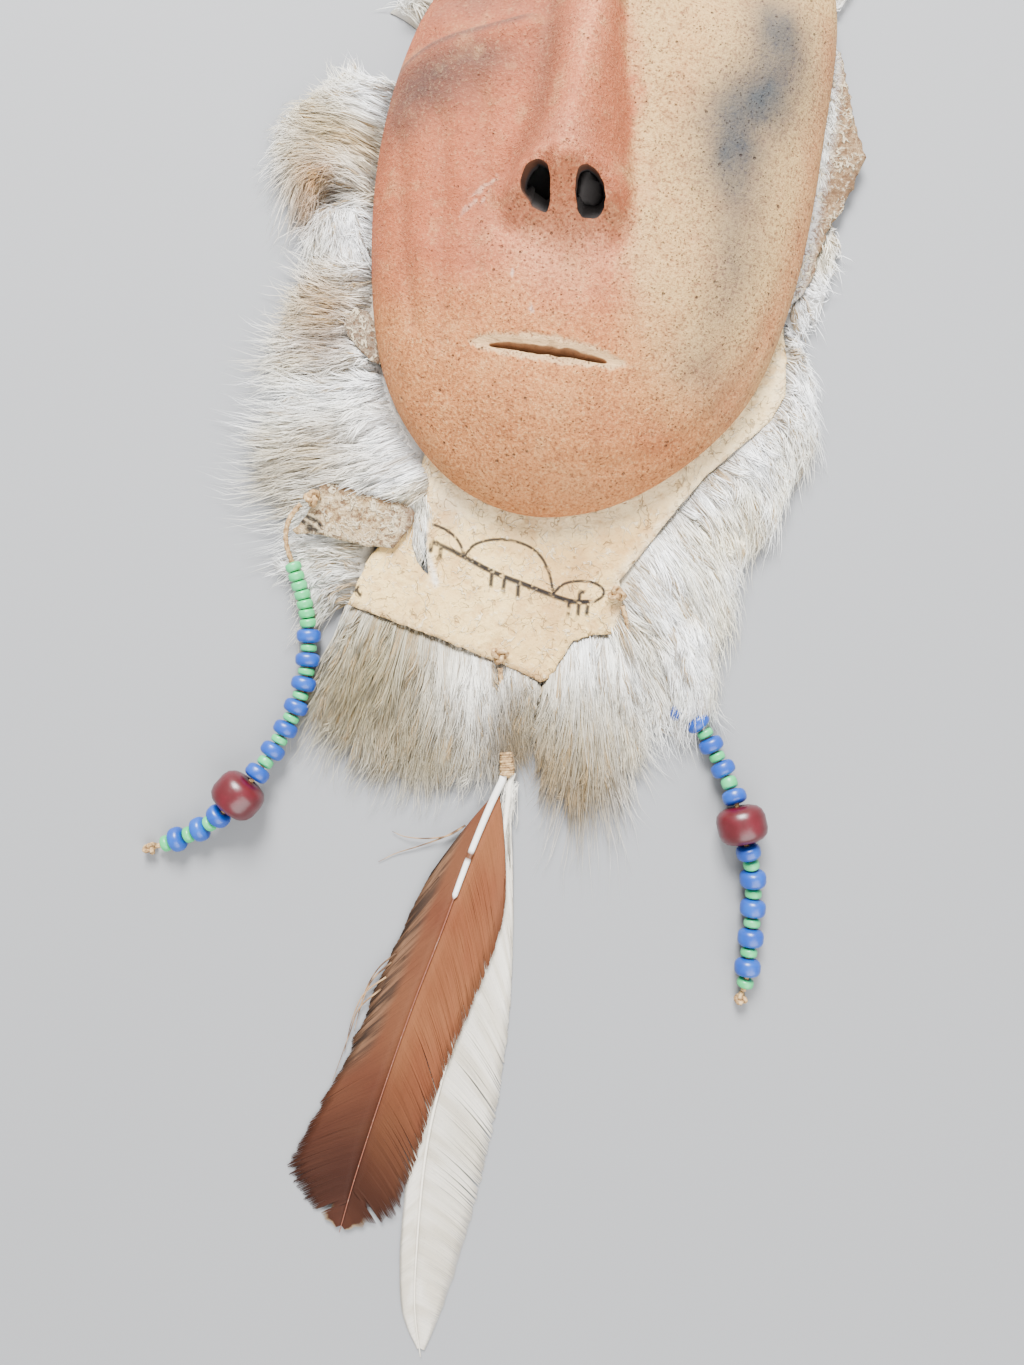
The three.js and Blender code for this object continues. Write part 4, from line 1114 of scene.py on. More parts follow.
# Pale scuffs, each with its half width, and pale specks
SCUFFS = [
    ([(-27.5, 102), (-24, 106)], 1.0), ([(-24.6, 107.6), (-19, 113)], 0.8),
    ([(-22.5, 105), (-20, 109)], 0.5),
]
SPECKS = [(-10.2, 86), (-3.4, 76.6)]


def touched(colour, x, y):
    """Tool marks round the nostrils, painted shade in the cheek furrows, the nose's left groove and the
    crease below the left eye, pale scuffs and the pale cut of the mouth.
    """
    rim = bell((nostril_gap(x, y) - 1.4) / 2.0)
    pecks = rough2(x, y, 1.9, 63, 2)
    colour = painted(colour, (190, 120, 84), 0.6 * rim * smooth(0.5 + pecks * 1.4))
    colour = painted(colour, (112, 62, 44), 0.25 * rim * smooth(-0.3 - pecks * 1.6))
    # Painted shade in the cheek furrows.
    furrow = grooved(x, y, CHEEK_FURROWS)
    colour = painted(colour, (128, 76, 50), np.clip(0.22 * furrow, 0, 0.3))
    # Painted shade in the groove along the nose's left side.
    wing = grooved(x, y, NOSE_GROOVES[:1]) * smooth((y - 98) / 20)
    colour = painted(colour, (104, 60, 42), np.clip(0.2 * wing, 0, 0.4))
    # Painted shade along the crease below the left eye.
    crease = bell(above_crease(x, y) / 1.5) * smooth((-12 - x) / 8)
    colour = painted(colour, (74, 52, 46), 0.75 * crease)
    for line, wide in SCUFFS:
        scuff = distance_to(x, y, line) + 0.7 * noise2(x, y, 1.0, 65)
        colour = painted(colour, (220, 196, 174), 0.22 * smooth(1 - scuff / wide))
    for spot in SPECKS:
        speck = np.hypot(x - spot[0], (y - spot[1]) * 0.7) + 0.3 * noise2(x, y, 0.7, 66)
        colour = painted(colour, (222, 200, 180), 0.7 * smooth(1 - speck / 0.9))
    return painted(colour, CUT_CLAY, 0.92 * mouth_share(x, y))


# Clouds of smoke: middle, half size, lean and strength
SMOKE_CLOUDS = [
    ((57.5, 171), (10.5, 15), -0.15, 0.9), ((56, 164), (13, 20), 0, 0.3),
    ((49.5, 146), (11, 11), 0.4, 0.92), ((48.5, 133.5), (9.5, 13), 0.1, 0.85),
    ((49.5, 140.5), (15, 19), 0.2, 0.35), ((56.5, 155), (7, 6), 0.6, 0.5),
    ((59, 148), (8, 8), 0, 0.3), ((52, 120.5), (9.5, 13), 0, 0.5), ((53, 104), (9, 15), 0, 0.42),
    ((52, 90), (8.5, 14), 0, 0.34), ((49, 70), (10, 9), 0, 0.3),
]


def smoke_left(x, y, drift):
    """How clean the clay is: 1 is bare and 0 is covered by the smoke of the firing."""
    clean = 1.0
    for centre, half, lean, strength in SMOKE_CLOUDS:
        dy = y - centre[1]
        dx = x - centre[0] - lean * dy + drift * 1.8
        clean = clean * (1 - strength * np.exp(-oval(dx, dy, (0, 0), half)))
    wisps = rough2(x, y * 0.7, 7, 59, 4)
    return 1 - np.clip((1 - clean) * (1 + 0.15 * wisps), 0, 0.95)


def loft_solid(rings):
    """Closed solid through rings of equal count, with a fan over each end."""
    ends = [ring.mean(0, keepdims=True) for ring in (rings[0], rings[-1])]
    return closed_rings(np.stack(rings), ends)


def shell_rings():
    """Rings from the tip of the nose out over the face, round the lip and up inside."""
    angle = np.linspace(0, 2 * math.pi, FACE_SIDES, endpoint=False)
    reach = mask_reach(angle)
    rings = []
    for share in 1 - np.linspace(0.985, 0, FACE_RINGS) ** 1.5:
        x, y = from_tip(angle, reach * share)
        rings.append(np.stack([x, y, clay_top(x, y)], axis=-1))
    for turn in np.linspace(0.12, 1, LIP_RINGS):
        spots = mask_edge(angle, -LIP_INSET * (1 - math.cos(turn * math.pi / 2)))
        z = CLAY_BASE + CLAY_LIP * (1 - math.sin(turn * math.pi / 2))
        rings.append(np.column_stack([spots, np.full(FACE_SIDES, z)]))
    for low in (0.0, 0.5):
        spots = mask_edge(angle, -RIM_WIDTH)
        rings.append(np.column_stack([spots, np.full(FACE_SIDES, CLAY_BASE + low)]))
    top = CLAY_LIP + DOME_RISE - CLAY_WALL
    for share in np.linspace(0.985, 0.02, HOLLOW_RINGS):
        x, y = from_tip(angle, share * (reach - RIM_WIDTH))
        pressed = NOSE_HOLLOW * nose_rise(x, y) - socket_depth(x, y)
        z = CLAY_BASE + top * dome_rise(share) + pressed + rough2(x, y, 14, 71, 2) * 0.5
        rings.append(np.stack([x, y, z], axis=-1))
    return rings


def knife_cutter(centre, levels, seed):
    """A lens at the surface that narrows to a slot through the clay."""
    angle = np.linspace(0, 2 * math.pi, 120, endpoint=False)
    rings = []
    for reach, above, below, shift, z in levels:
        rise = np.abs(np.sin(angle)) ** 0.8
        x = reach * np.cos(angle)
        y = np.where(np.sin(angle) > 0, above, -below) * rise + shift
        ragged = noise2(x, x * 0 + z, 2.4, seed) * 0.4 + noise2(x, x * 0 + z, 0.9, seed + 1) * 0.2
        y = y + ragged * rise * np.where(np.sin(angle) > 0, 1, 0.6)
        x = centre[0] + x
        y = centre[1] + y
        rings.append(np.stack([x, y, clay_top(x, y, fine=False) + z], axis=-1))
    return loft_solid(rings)


def nostril_cutter(outline, ledge, seed):
    """A hole along its slanted axis, with a ledge on its lower wall and one on its left wall."""
    edge = spline(outline, closed=True, steps=5)
    edge = edge + np.stack([noise2(*edge.T, 1.6, seed), noise2(*edge.T, 1.6, seed + 1)], axis=-1) * 0.22
    middle = edge.mean(0)
    low = smooth((middle[1] - edge[:, 1]) / 4.5)
    left = smooth((middle[0] - edge[:, 0]) / 3.0)
    rings = []
    for down in NOSTRIL_DEPTHS:
        x = edge[:, 0] + ledge * left * np.clip(down + 1, 0, 7) / 7
        y = edge[:, 1] + NOSTRIL_SLOPE * down + 5.0 * low * np.clip(down - 5.5, 0, 3.5) / 3.5
        rings.append(np.stack([x, y, np.full(len(edge), NOSTRIL_LEVEL - down)], axis=-1))
    return loft_solid(rings)


def clay_cutters():
    """The shapes to cut from the clay, each with the material of its walls."""
    cutters = [(knife_cutter(MOUTH_CENTRE, MOUTH_LEVELS, 81), CUT)]
    for index, centre in enumerate(EYE_CENTRES):
        cutters.append((knife_cutter(centre, EYE_LEVELS, 83 + index), CLAY))
    for index, (outline, ledge) in enumerate(zip(NOSTRILS, NOSTRIL_LEDGES)):
        cutters.append((nostril_cutter(outline, ledge, 91 + index), HOLE))
    return cutters


def clay_piece():
    points, faces = loft_solid(shell_rings())
    tint = clay_tint(*points[:, :2].T)
    inner_start = (FACE_RINGS + LIP_RINGS) * FACE_SIDES
    front_end = len(points) - 2
    picks = [0 if face[0] < inner_start or face[0] == front_end else 2 for face in faces]
    piece = new_object("clay_face", points, faces, [CLAY, CUT, HOLE], tint=tint, picks=picks)
    outward(piece)
    for index, (shape, material) in enumerate(clay_cutters()):
        cutter = outward(new_object(f"cutter_{index}", *shape, [material]))
        cut = piece.modifiers.new("cut", "BOOLEAN")
        cut.operation = "DIFFERENCE"
        cut.solver = "EXACT"
        cut.material_mode = "TRANSFER"
        cut.object = cutter
        bpy.context.view_layer.objects.active = piece
        with bpy.context.temp_override(object=piece, active_object=piece, selected_objects=[piece]):
            bpy.ops.object.modifier_apply(modifier="cut")
        bpy.data.objects.remove(cutter)
    paint_cuts(piece)
    place(piece, "clay", "clay_mask")


def paint_cuts(piece):
    """Gives the new points of the cuts their own clay colour, the mouth's walls brown with painted shade
    that turns them near black deeper down, and keeps the cut edges crisp.
    """
    mesh = piece.data
    places = np.zeros(len(mesh.vertices) * 3)
    mesh.vertices.foreach_get("co", places)
    places = places.reshape(-1, 3) / MM + PLAN_CENTRE
    x, y, z = places.T
    below = clay_top(x, y) - z
    deep = smooth((below - 0.7) / 0.4) * mouth_share(x, y)
    # Painted shade: the mouth's walls turn near black from 3 mm below the surface.
    shade = painted(linear(CUT_SHADE), (30, 20, 16), smooth((below - 3.0) / 1.6))
    shade = np.column_stack([shade, np.ones(len(shade))])
    colours = mix(clay_tint(x, y), shade, 0.94 * deep)
    layer = mesh.color_attributes["tint"]
    layer.data.foreach_set("color", colours.astype(np.float32).ravel())
    mesh.set_sharp_from_angle(angle=math.radians(38))
    mesh.update()


clay_piece()


# Hides

def cloth_points(outline, spacing, ragged, seed, extra):
    """Outline points, close and slightly ragged, then jittered points inside."""
    corners = np.asarray(outline, float)
    edge = []
    for first, second in zip(corners, np.roll(corners, -1, axis=0)):
        steps = max(1, int(np.linalg.norm(second - first) / (spacing * 0.8)))
        for step in range(steps):
            edge.append(first + (second - first) * step / steps)
    edge = np.array(edge)
    edge[:, 0] += noise2(*edge.T, 1.7, seed) * ragged
    edge[:, 1] += noise2(*edge.T, 1.7, seed + 1) * ragged
    random = np.random.default_rng(seed)
    low, high = edge.min(0), edge.max(0)
    xs, ys = np.meshgrid(np.arange(low[0], high[0], spacing), np.arange(low[1], high[1], spacing))
    filling = np.column_stack([xs.ravel(), ys.ravel()])
    filling += random.uniform(-0.3, 0.3, filling.shape) * spacing
    if len(extra):
        crowd = np.min([np.hypot(*(filling - spot).T) for spot in extra[::3]], axis=0)
        filling = np.vstack([filling[crowd > spacing * 0.5], extra])
    keep = inside(*filling.T, edge)
    return edge, filling[keep]


def hide_shape(outline, top, spacing, thick, ragged, seed, extra=()):
    """A thin closed hide: its upper face at top(x, y), its lower face thick below it."""
    edge, filling = cloth_points(outline, spacing, ragged, seed, extra)
    spots = [Vector(spot) for spot in np.vstack([edge, filling])]
    rim = [(index, (index + 1) % len(edge)) for index in range(len(edge))]
    flat, _, triangles, *_ = delaunay_2d_cdt(spots, rim, [], 1, 1e-5)
    flat = np.array([tuple(spot) for spot in flat])
    x, y = flat.T
    from_edge = distance_to(x, y, np.vstack([edge, edge[:1]]))
    rounded = 0.35 * thick * (1 - smooth(from_edge / 0.8))
    upper = np.column_stack([flat, top(x, y) - rounded])
    lower = np.column_stack([flat, top(x, y) - thick + rounded])
    count = len(flat)
    faces = [list(face) for face in triangles]
    sides = [pair for face in faces for pair in zip(face, face[1:] + face[:1])]
    used = set(sides)
    border = [pair for pair in sides if pair[::-1] not in used]
    under = [[index + count for index in reversed(face)] for face in faces]
    walls = [[second, first, first + count, second + count] for first, second in border]
    return np.vstack([upper, lower]), faces + under + walls, count


CHIN_HIDE = [
    (-48.2, -13.8), (-20, -19.6), (-2, -24), (8, -26.3), (15.8, -29), (19, -27.3), (20.8, -21.9),
    (24.5, -14.5), (30.2, -11.8), (36.5, -10.5), (38.5, -3), (36.1, 6.8), (43.3, 18.8), (51.7, 33.5),
    (59.1, 44.6), (68.4, 55), (76.1, 64.1), (79.6, 72.7), (77.9, 84.3), (75, 96.5), (66, 96.5),
    (58, 72), (44, 50), (20, 36), (-6, 34), (-30, 44), (-32.4, 29), (-29.9, 25.2), (-27.2, 18),
    (-26.5, 8.8), (-24.4, -1), (-21.6, -2.8), (-26.4, 0.6), (-28.6, 3.2), (-30.9, 8), (-31.2, 16.6),
    (-35, 18), (-44, 1.2),
]
HIDE_LOW_EDGE = [(-48, -14), (-2, -24), (16, -29)]
HIDE_FOLD = [(37, -8), (36.1, 6.8), (51.7, 33.5), (76.1, 64.1), (79, 80)]
HIDE_CRACK = [(-32, 28), (-28, 18), (-27, 8), (-21.6, -2.8)]
FINE_INK = 0.62
BROAD_INK = 1.0
STROKE_INK = 0.85
INK_BASE = [
    (-24.2, 9.8), (-18, 8.1), (-13.6, 6.5), (-6.5, 3.9), (-0.8, 2.3), (6.2, 0.8), (15.8, -1.4),
    (22, -2.3), (27.1, -1.8),
]
INK_OVAL = [(15.7, -0.8), (18.3, 2.6), (22.9, 4.4), (28.4, 4.5), (31.4, 2.8), (31.4, 0.9), (29.2, -1.2)]
INK_BOWS = [
    [(-24.7, 15.3), (-20.9, 14.3), (-17.5, 12.3), (-15.4, 9.9), (-14, 7)],
    [
        (-13.7, 7.1), (-11.7, 10.5), (-8.4, 12.5), (-3.6, 13.8), (1.3, 13.9), (6.3, 12.8),
        (10.4, 10.1), (13.5, 5.6), (15.5, 0.4),
    ],
]
INK_STROKES = [
    [(-24.8, 9.7), (-24.7, 6.9)], [(-21.6, 8.7), (-21.5, 5.6)], [(-4.5, 3.2), (-4.2, -1)],
    [(-0.2, 2.4), (-0.1, -2.2)], [(4.4, 1.2), (4.7, -3)], [(21.2, -2.7), (21.4, -6.1)],
    [(24.1, 0.4), (24.5, -6.2)], [(27.2, -1.8), (27.2, -5.5)], [(24.7, 1.2), (25.3, 1.2)],
]
CORNER_MARKS = [[(-46.2, -8.6), (-44.6, -10.4)], [(-46.8, -9.4), (-45.6, -7.8)]]


def chin_hide_top(x, y):
    sag = 0.8 * smooth((-4 - y) / 24)
    curl = 0.5 * lump(x, y, (-46, -10), 9)
    return 5.5 + rough2(x, y, 16, 101, 2) * 0.32 - sag + curl - 0.3 * smooth((y - 20) / 10)


def ink_lines():
    """The rain cloud figure: bows over a line, short strokes below it and an oval with a dot."""
    base = spline(INK_BASE, steps=6)
    lines = [(base, BROAD_INK), (base[14:] + (0.1, 0.45), FINE_INK)]
    lines += [(spline(line, steps=6), FINE_INK) for line in (*INK_BOWS, INK_OVAL)]
    lines += [(np.array(stroke), STROKE_INK) for stroke in INK_STROKES]
    return lines + [(np.array(stroke), FINE_INK) for stroke in CORNER_MARKS]


def stroke_mesh_points(lines, step=0.5):
    """Close points on and beside each stroke, so that a colour can follow it."""
    spots = []
    for line, width in lines:
        line = np.asarray(line, float)
        whole = lengths_of(line)[-1]
        middle = along(line, np.linspace(0, whole, max(2, int(whole / step))))
        ahead = np.gradient(middle, axis=0)
        aside = unit(np.stack([-ahead[:, 1], ahead[:, 0]], axis=-1))
        spots += [middle + aside * width * share for share in (0, 0.5, -0.5, 1.1, -1.1)]
    return np.vstack(spots)


def stroke_share(x, y, lines):
    """1 on a stroke's middle, falling to 0 beside it, with worn gaps."""
    shares = [smooth(1.5 - 1.4 * distance_to(x, y, line) / width) for line, width in lines]
    worn = smooth(1.15 + 0.8 * noise2(x, y, 0.8, 111) + 0.3 * noise2(x, y, 2.4, 112))
    return np.max(shares, axis=0) * worn


def inked_tint(colour, x, y, lines, count, depth):
    """The colours with a fourth value that falls where ink lies on the upper face."""
    ink = stroke_share(x, y, lines)
    ink[count:] = 0
    return np.column_stack([colour, 1 - depth * ink])


def hide_area(points, faces):
    """Area of the upper face, in square metres."""
    upper = np.array([face for face in faces if len(face) == 3 and max(face) < len(points)])
    a, b, c = points[upper[:, 0]], points[upper[:, 1]], points[upper[:, 2]]
    return float(np.linalg.norm(np.cross(b - a, c - a), axis=1).sum() / 2) * MM * MM


def chin_hide_tint(x, y):
    wide = rough2(x, y, 15, 121, 3)
    colour = painted(linear(HIDE_TAN), (206, 166, 106), smooth(0.4 + wide * 0.7))
    colour = painted(colour, HIDE_GREY, 0.6 * lump(x, y, (-21, 22.5), 7))
    low_edge = smooth(1 - distance_to(x, y, HIDE_LOW_EDGE) / 3)
    colour = painted(colour, (198, 166, 122), 0.7 * low_edge)
    fold = smooth(1 - distance_to(x, y, HIDE_FOLD) / 4)
    colour = painted(colour, (240, 222, 182), 0.75 * fold)
    # Painted light: lighter near the clay's edge, lifting the shade that the clay casts on the hide.
    away, whole = tip_distance(x, y)
    colour = painted(colour, (246, 226, 182), 0.65 * smooth(1.1 - (away - whole) / 10))
    crack = smooth(1 - distance_to(x, y, HIDE_CRACK) / 1.8)
    return painted(colour, HIDE_WHITE, 0.8 * crack)


def chin_hide():
    lines = ink_lines()
    close = stroke_mesh_points(lines)
    points, faces, count = hide_shape(
        CHIN_HIDE, chin_hide_top, spacing=1.5, thick=1.2, ragged=0.3, seed=5, extra=close,
    )
    x, y = points[:, :2].T
    tint = inked_tint(chin_hide_tint(x, y), x, y, lines, count, 0.98)
    piece = place(new_object("chin_hide", points, faces, [HIDE], tint=tint), "hide", "chin_pelt")
    hide_area(points[:count], faces)


chin_hide()


# Right hide, the suede scrap and the torn bit of hide

RIGHT_HIDE = [
    (79.1, 187.9), (82.2, 180), (85.8, 170.8), (89.8, 159.5), (93.4, 150.6), (91.5, 142.4),
    (89.9, 137.2), (86.8, 130), (85, 126.8), (83.9, 119.2), (82.1, 109.2), (78.8, 103.2),
    (75.5, 97.6), (66, 98), (66, 140), (64, 172),
]
TAG = [
    (-61.4, 23.5), (-55, 22.9), (-48.4, 21.7), (-40.6, 21.3), (-33.9, 20.3), (-31.1, 18.2), (-31.5, 15),
    (-33.9, 9.6), (-36.5, 5.7), (-41.5, 5.2), (-50.8, 5.8), (-61, 6.5), (-66.9, 5.6), (-68.1, 7),
    (-64.7, 11.6), (-63.2, 15), (-62.8, 18.6),
]
TAG_MARKS = [
    [(-66, 10), (-63.4, 9)], [(-64.4, 11.6), (-62.2, 10.8)], [(-62.6, 8.6), (-60.6, 7.6)],
    [(-61.2, 10.6), (-59.8, 9.2)], [(-64, 8.2), (-62.8, 7.4)],
]
TAG_DARK_EDGE = [(-62, 22), (-48.4, 21.7), (-32, 19.5), (-31.3, 14), (-36.5, 6)]


def tag_top(x, y):
    curl = 0.5 * lump(x, y, (-66, 7), 5) + 0.4 * lump(x, y, (-33, 7), 5)
    return 7.4 - 0.048 * (x + 31) + rough2(x, y, 9, 131, 2) * 0.3 + curl


def tag_piece():
    marks = [(np.array(mark), 0.9) for mark in TAG_MARKS]
    close = stroke_mesh_points(marks)
    points, faces, count = hide_shape(
        TAG, tag_top, spacing=1.1, thick=1.5, ragged=0.5, seed=6, extra=close,
    )
    x, y = points[:, :2].T
    wide = smooth(0.5 + rough2(x, y, 7, 141, 3))
    colour = painted(linear((182, 152, 108)), (222, 200, 160), wide)
    grey = lump(x, y, (-34, 17), 5) * smooth(0.6 + noise2(x, y, 2, 143))
    colour = painted(colour, (122, 104, 92), 0.7 * grey)
    edge = distance_to(x, y, TAG_DARK_EDGE)
    edge = smooth(1.1 - edge / 2.2 + 0.4 * noise2(x, y, 1.5, 144))
    colour = painted(colour, SUEDE_BROWN, 0.75 * edge)
    tint = inked_tint(colour, x, y, marks, count, 0.97)
    piece = place(new_object("suede_scrap", points, faces, [SUEDE], tint=tint), "suede", "bead_tag")
    hide_area(points[:count], faces)


CHEEK_SCRAP = [
    (-62, 75), (-59.4, 78), (-55, 78.4), (-51, 73), (-47, 63), (-51.6, 62.4), (-57.6, 67.4),
    (-61.4, 71),
]


def cheek_scrap():
    """A torn bit of the cheek pelt's own hide that stands up beside the clay."""
    def top(x, y):
        return 8.0 + 0.13 * (-50 - x) + rough2(x, y, 4, 146, 2) * 0.5

    points, faces, _ = hide_shape(CHEEK_SCRAP, top, spacing=0.9, thick=1.1, ragged=0.5, seed=8)
    x, y = points[:, :2].T
    wide = smooth(0.5 + rough2(x, y, 4, 147, 2))
    tint = painted(linear((132, 112, 92)), (176, 156, 130), wide)
    place(new_object("cheek_scrap", points, faces, [SUEDE], tint=tint), "suede", "cheek_pelt")


RIGHT_HIDE_INNER = [(78, 190), (79.5, 160), (79, 130), (77, 100)]


def right_hide_top(x, y):
    dent = 0.9 * lump(x, y, (88, 150), 9) - 0.5 * smooth((y - 172) / 14)
    return 4.6 + dent + rough2(x, y, 10, 151, 2) * 0.4


def right_hide_piece():
    points, faces, count = hide_shape(
        RIGHT_HIDE, right_hide_top, spacing=1.3, thick=1.4, ragged=0.7, seed=7,
    )
    x, y = points[:, :2].T
    wide = smooth(0.5 + rough2(x, y, 10, 161, 3) * 0.8)
    colour = painted(linear((134, 104, 74)), (172, 142, 106), wide)
    inner = smooth(1 - distance_to(x, y, RIGHT_HIDE_INNER) / 5)
    colour = painted(colour, FUR_WHITE, 0.85 * inner)
    dent = lump(x, y, (86, 150), 7) * smooth(0.5 + rough2(x, y, 4, 171, 2))
    colour = painted(colour, (120, 96, 72), 0.5 * dent)
    piece = place(new_object("right_hide", points, faces, [SUEDE], tint=colour), "suede", "right_pelt")
    hide_area(points[:count], faces)


right_hide_piece()
tag_piece()
cheek_scrap()


# Fur, combed from a line of roots over a middle line to a line of tips

COATS = {
    "fur_left_upper": {
        "roots": [(-55, 155), (-56, 144), (-57, 134), (-58, 123), (-57, 111)],
        "mids": [(-66, 152), (-75, 145), (-80, 135), (-78, 125), (-70, 116)],
        "tips": [(-73, 157), (-86, 143), (-94, 129), (-91, 118), (-81, 110)],
        "locks": 10, "height": 8.0, "strands": 5200, "node": "cheek_pelt",
    },
    "fur_left_fill": {
        "roots": [(-56, 120), (-56, 108), (-56, 97)],
        "mids": [(-66, 119), (-69, 107), (-66, 96)],
        "tips": [(-80, 115), (-82, 103), (-76, 90)],
        "locks": 6, "height": 5.4, "strands": 1500, "node": "cheek_pelt",
    },
    "fur_whorl_curl": {
        "roots": [(-61, 119), (-65, 118), (-69, 115.5)],
        "mids": [(-72, 129), (-77, 122), (-76, 113)],
        "tips": [(-88, 120), (-86, 108), (-79, 100)],
        "locks": 6, "height": 8.6, "strands": 1700, "node": "cheek_pelt",
    },
    "fur_whorl_tuft": {
        "roots": [(-73.5, 113), (-70, 111.5), (-65, 113)],
        "mids": [(-77, 103), (-69, 101), (-61, 103)],
        "tips": [(-80, 94), (-69, 87), (-56, 93)],
        "locks": 7, "height": 7.6, "strands": 2100, "node": "cheek_pelt",
    },
    "fur_left_middle": {
        "roots": [(-56, 99), (-55, 88), (-55, 77), (-53, 67), (-49, 60)],
        "mids": [(-65, 96), (-69, 84), (-69, 71), (-67, 64), (-60, 56)],
        "tips": [(-76, 102), (-82, 84), (-86, 68), (-87, 57), (-80, 48)],
        "locks": 8, "height": 7.8, "strands": 4300, "node": "cheek_pelt",
    },
    "fur_left_lower": {
        "roots": [(-50, 64), (-45, 53), (-37, 41), (-28, 32), (-27, 24)],
        "mids": [(-63, 58), (-63, 46), (-60, 34), (-50, 22), (-38, 16)],
        "tips": [(-83, 58), (-87, 46), (-85, 32), (-81, 15), (-64, 2)],
        "locks": 10, "height": 8.8, "strands": 6200, "node": "cheek_pelt",
    },
    "fur_left_corner": {
        "roots": [(-46, 10), (-46, 0), (-46, -13)],
        "mids": [(-62, 8), (-59, -6), (-55, -18)],
        "tips": [(-77, 5), (-70, -12), (-60, -31)],
        "locks": 5, "height": 4.4, "strands": 1700, "node": "chin_pelt",
    },
    "fur_slot": {
        "roots": [(-38, 32), (-33, 31), (-28, 28)],
        "mids": [(-36, 16), (-31, 16), (-27, 15)],
        "tips": [(-33, 1), (-29, 0), (-25, 2)],
        "locks": 3, "height": 4.6, "strands": 900, "node": "chin_pelt",
    },
    "fur_right": {
        "roots": [
            (75, 96), (77, 84), (78, 73), (73, 61), (67, 53), (58, 44), (51, 33), (42, 18), (36, 3),
            (33, -9),
        ],
        "mids": [
            (82, 88), (86, 76), (87, 64), (82, 52), (76, 39), (68, 26), (64, 12), (59, -4),
            (54, -17), (41, -22),
        ],
        "tips": [
            (87, 77), (93, 62), (91, 52), (85, 43), (82, 27), (74, 15), (74, 2), (71, -15),
            (72, -33), (52, -42),
        ],
        "locks": 15, "height": 7.8, "strands": 8200, "node": "chin_pelt",
    },
    "fur_right_lock": {
        "roots": [(45, -9), (53, -4), (61, 2)],
        "mids": [(54, -22), (61, -20), (68, -14)],
        "tips": [(59, -37), (65, -37), (73, -30)],
        "locks": 4, "height": 11.5, "strands": 2000, "node": "chin_pelt",
    },
    "fur_bottom_right": {
        "roots": [(17, -25), (20, -20), (24, -13), (31, -9), (37, -10), (42, -17)],
        "mids": [(16, -39), (20, -41), (26, -41), (34, -38), (42, -35), (48, -32)],
        "tips": [(15, -48), (20, -62), (30, -76), (41, -74), (50, -58), (56, -42)],
        "locks": 9, "height": 6.8, "strands": 4300, "node": "chin_pelt",
    },
    "fur_bottom_left": {
        "roots": [(-49, -10), (-40, -13), (-28, -15), (-14, -19), (-4, -21), (3, -22)],
        "mids": [(-53, -29), (-44, -38), (-32, -42), (-17, -45), (-4, -46), (8, -41)],
        "tips": [(-60, -50), (-51, -60), (-36, -65), (-20, -68), (-4, -67), (9, -60)],
        "locks": 12, "height": 5.6, "strands": 6400, "node": "chin_pelt",
    },
    "fur_bottom_middle": {
        "roots": [(1, -22), (8, -24), (16, -26)],
        "mids": [(4, -38), (10, -40), (16, -39)],
        "tips": [(6, -60), (11, -60), (16, -50)],
        "locks": 5, "height": 5.4, "strands": 1700, "node": "chin_pelt",
    },
    "fur_right_gap": {
        "roots": [(73, 180), (75, 160), (76, 142)],
        "mids": [(78, 170), (80, 153), (79, 139)],
        "tips": [(82, 165), (84, 146), (80, 132)],
        "locks": 5, "height": 5.8, "strands": 900, "node": "right_pelt",
    },
    "fur_right_fringe": {
        "roots": [(86, 132), (82, 116), (79, 105), (76, 99)],
        "mids": [(88, 128), (85, 112), (82, 101), (79, 95)],
        "tips": [(91, 123), (90, 106), (87, 95), (84, 90)],
        "locks": 7, "height": 3.0, "strands": 420, "node": "right_pelt",
    },
}
# Patches of other colours: middle, radius, colour and strength. The dark patch at (-70.6, 113.6) is
# painted shade in the whorl's pit, and those at (9, -38) and (9, -50) are painted shade in the valley
# between the bottom lobes.
FUR_PATCHES = [
    ((-78, 134), 14, (180, 158, 108), 0.9), ((-64, 130), 6, (160, 128, 78), 0.85),
    ((-62, 148), 7, FUR_WHITE, 0.8), ((-58, 117), 5, (150, 126, 104), 0.6),
    ((-77, 118), 8, (160, 112, 46), 0.95), ((-80, 107), 6, (150, 106, 50), 0.85),
    # (-70.6, 113.6): painted shade in the whorl's pit
    ((-70.6, 113.6), 4.4, (44, 30, 20), 0.98), ((-67, 98), 8, (255, 255, 255), 0.95),
    ((-68, 78), 12, (158, 118, 56), 0.94), ((-66, 66), 8, (130, 94, 50), 0.85),
    ((-80, 78), 9, (206, 190, 152), 0.5), ((-45, 42), 15, (255, 255, 255), 0.95),
    ((-64, 32), 10, (160, 134, 84), 0.85), ((-76, 22), 11, (160, 142, 98), 0.7),
    ((-60, -8), 12, (206, 204, 196), 0.5), ((-36, -26), 20, (150, 138, 100), 0.9),
    ((-44, -44), 25, (130, 116, 76), 0.94), ((-18, -54), 26, (132, 116, 76), 0.94),
    # (9, -38) and (9, -50): painted shade in the valley between the bottom lobes
    ((-4, -32), 12, (246, 244, 236), 0.85), ((9, -38), 9, (84, 62, 36), 0.95),
    ((9, -50), 9, (70, 50, 28), 0.98), ((30, -17), 9, FUR_WHITE, 0.9),
    ((28, -42), 19, (150, 134, 92), 0.9), ((46, -44), 11, (206, 198, 176), 0.6),
    ((34, -64), 18, (114, 90, 52), 0.94), ((20, -56), 9, (128, 102, 60), 0.85),
    ((62, 24), 9, FUR_CREAM, 0.6), ((78, 68), 12, FUR_WHITE, 0.8),
    ((84, 60), 6, (206, 200, 184), 0.4),
]
TAG_CLEARANCE = 2.0
STRANDS_PER_TUFT = 19
UNDERFUR_ROWS = 16
UNDERFUR_EDGE = 0.45
UNDERFUR_FOOT = 0.2
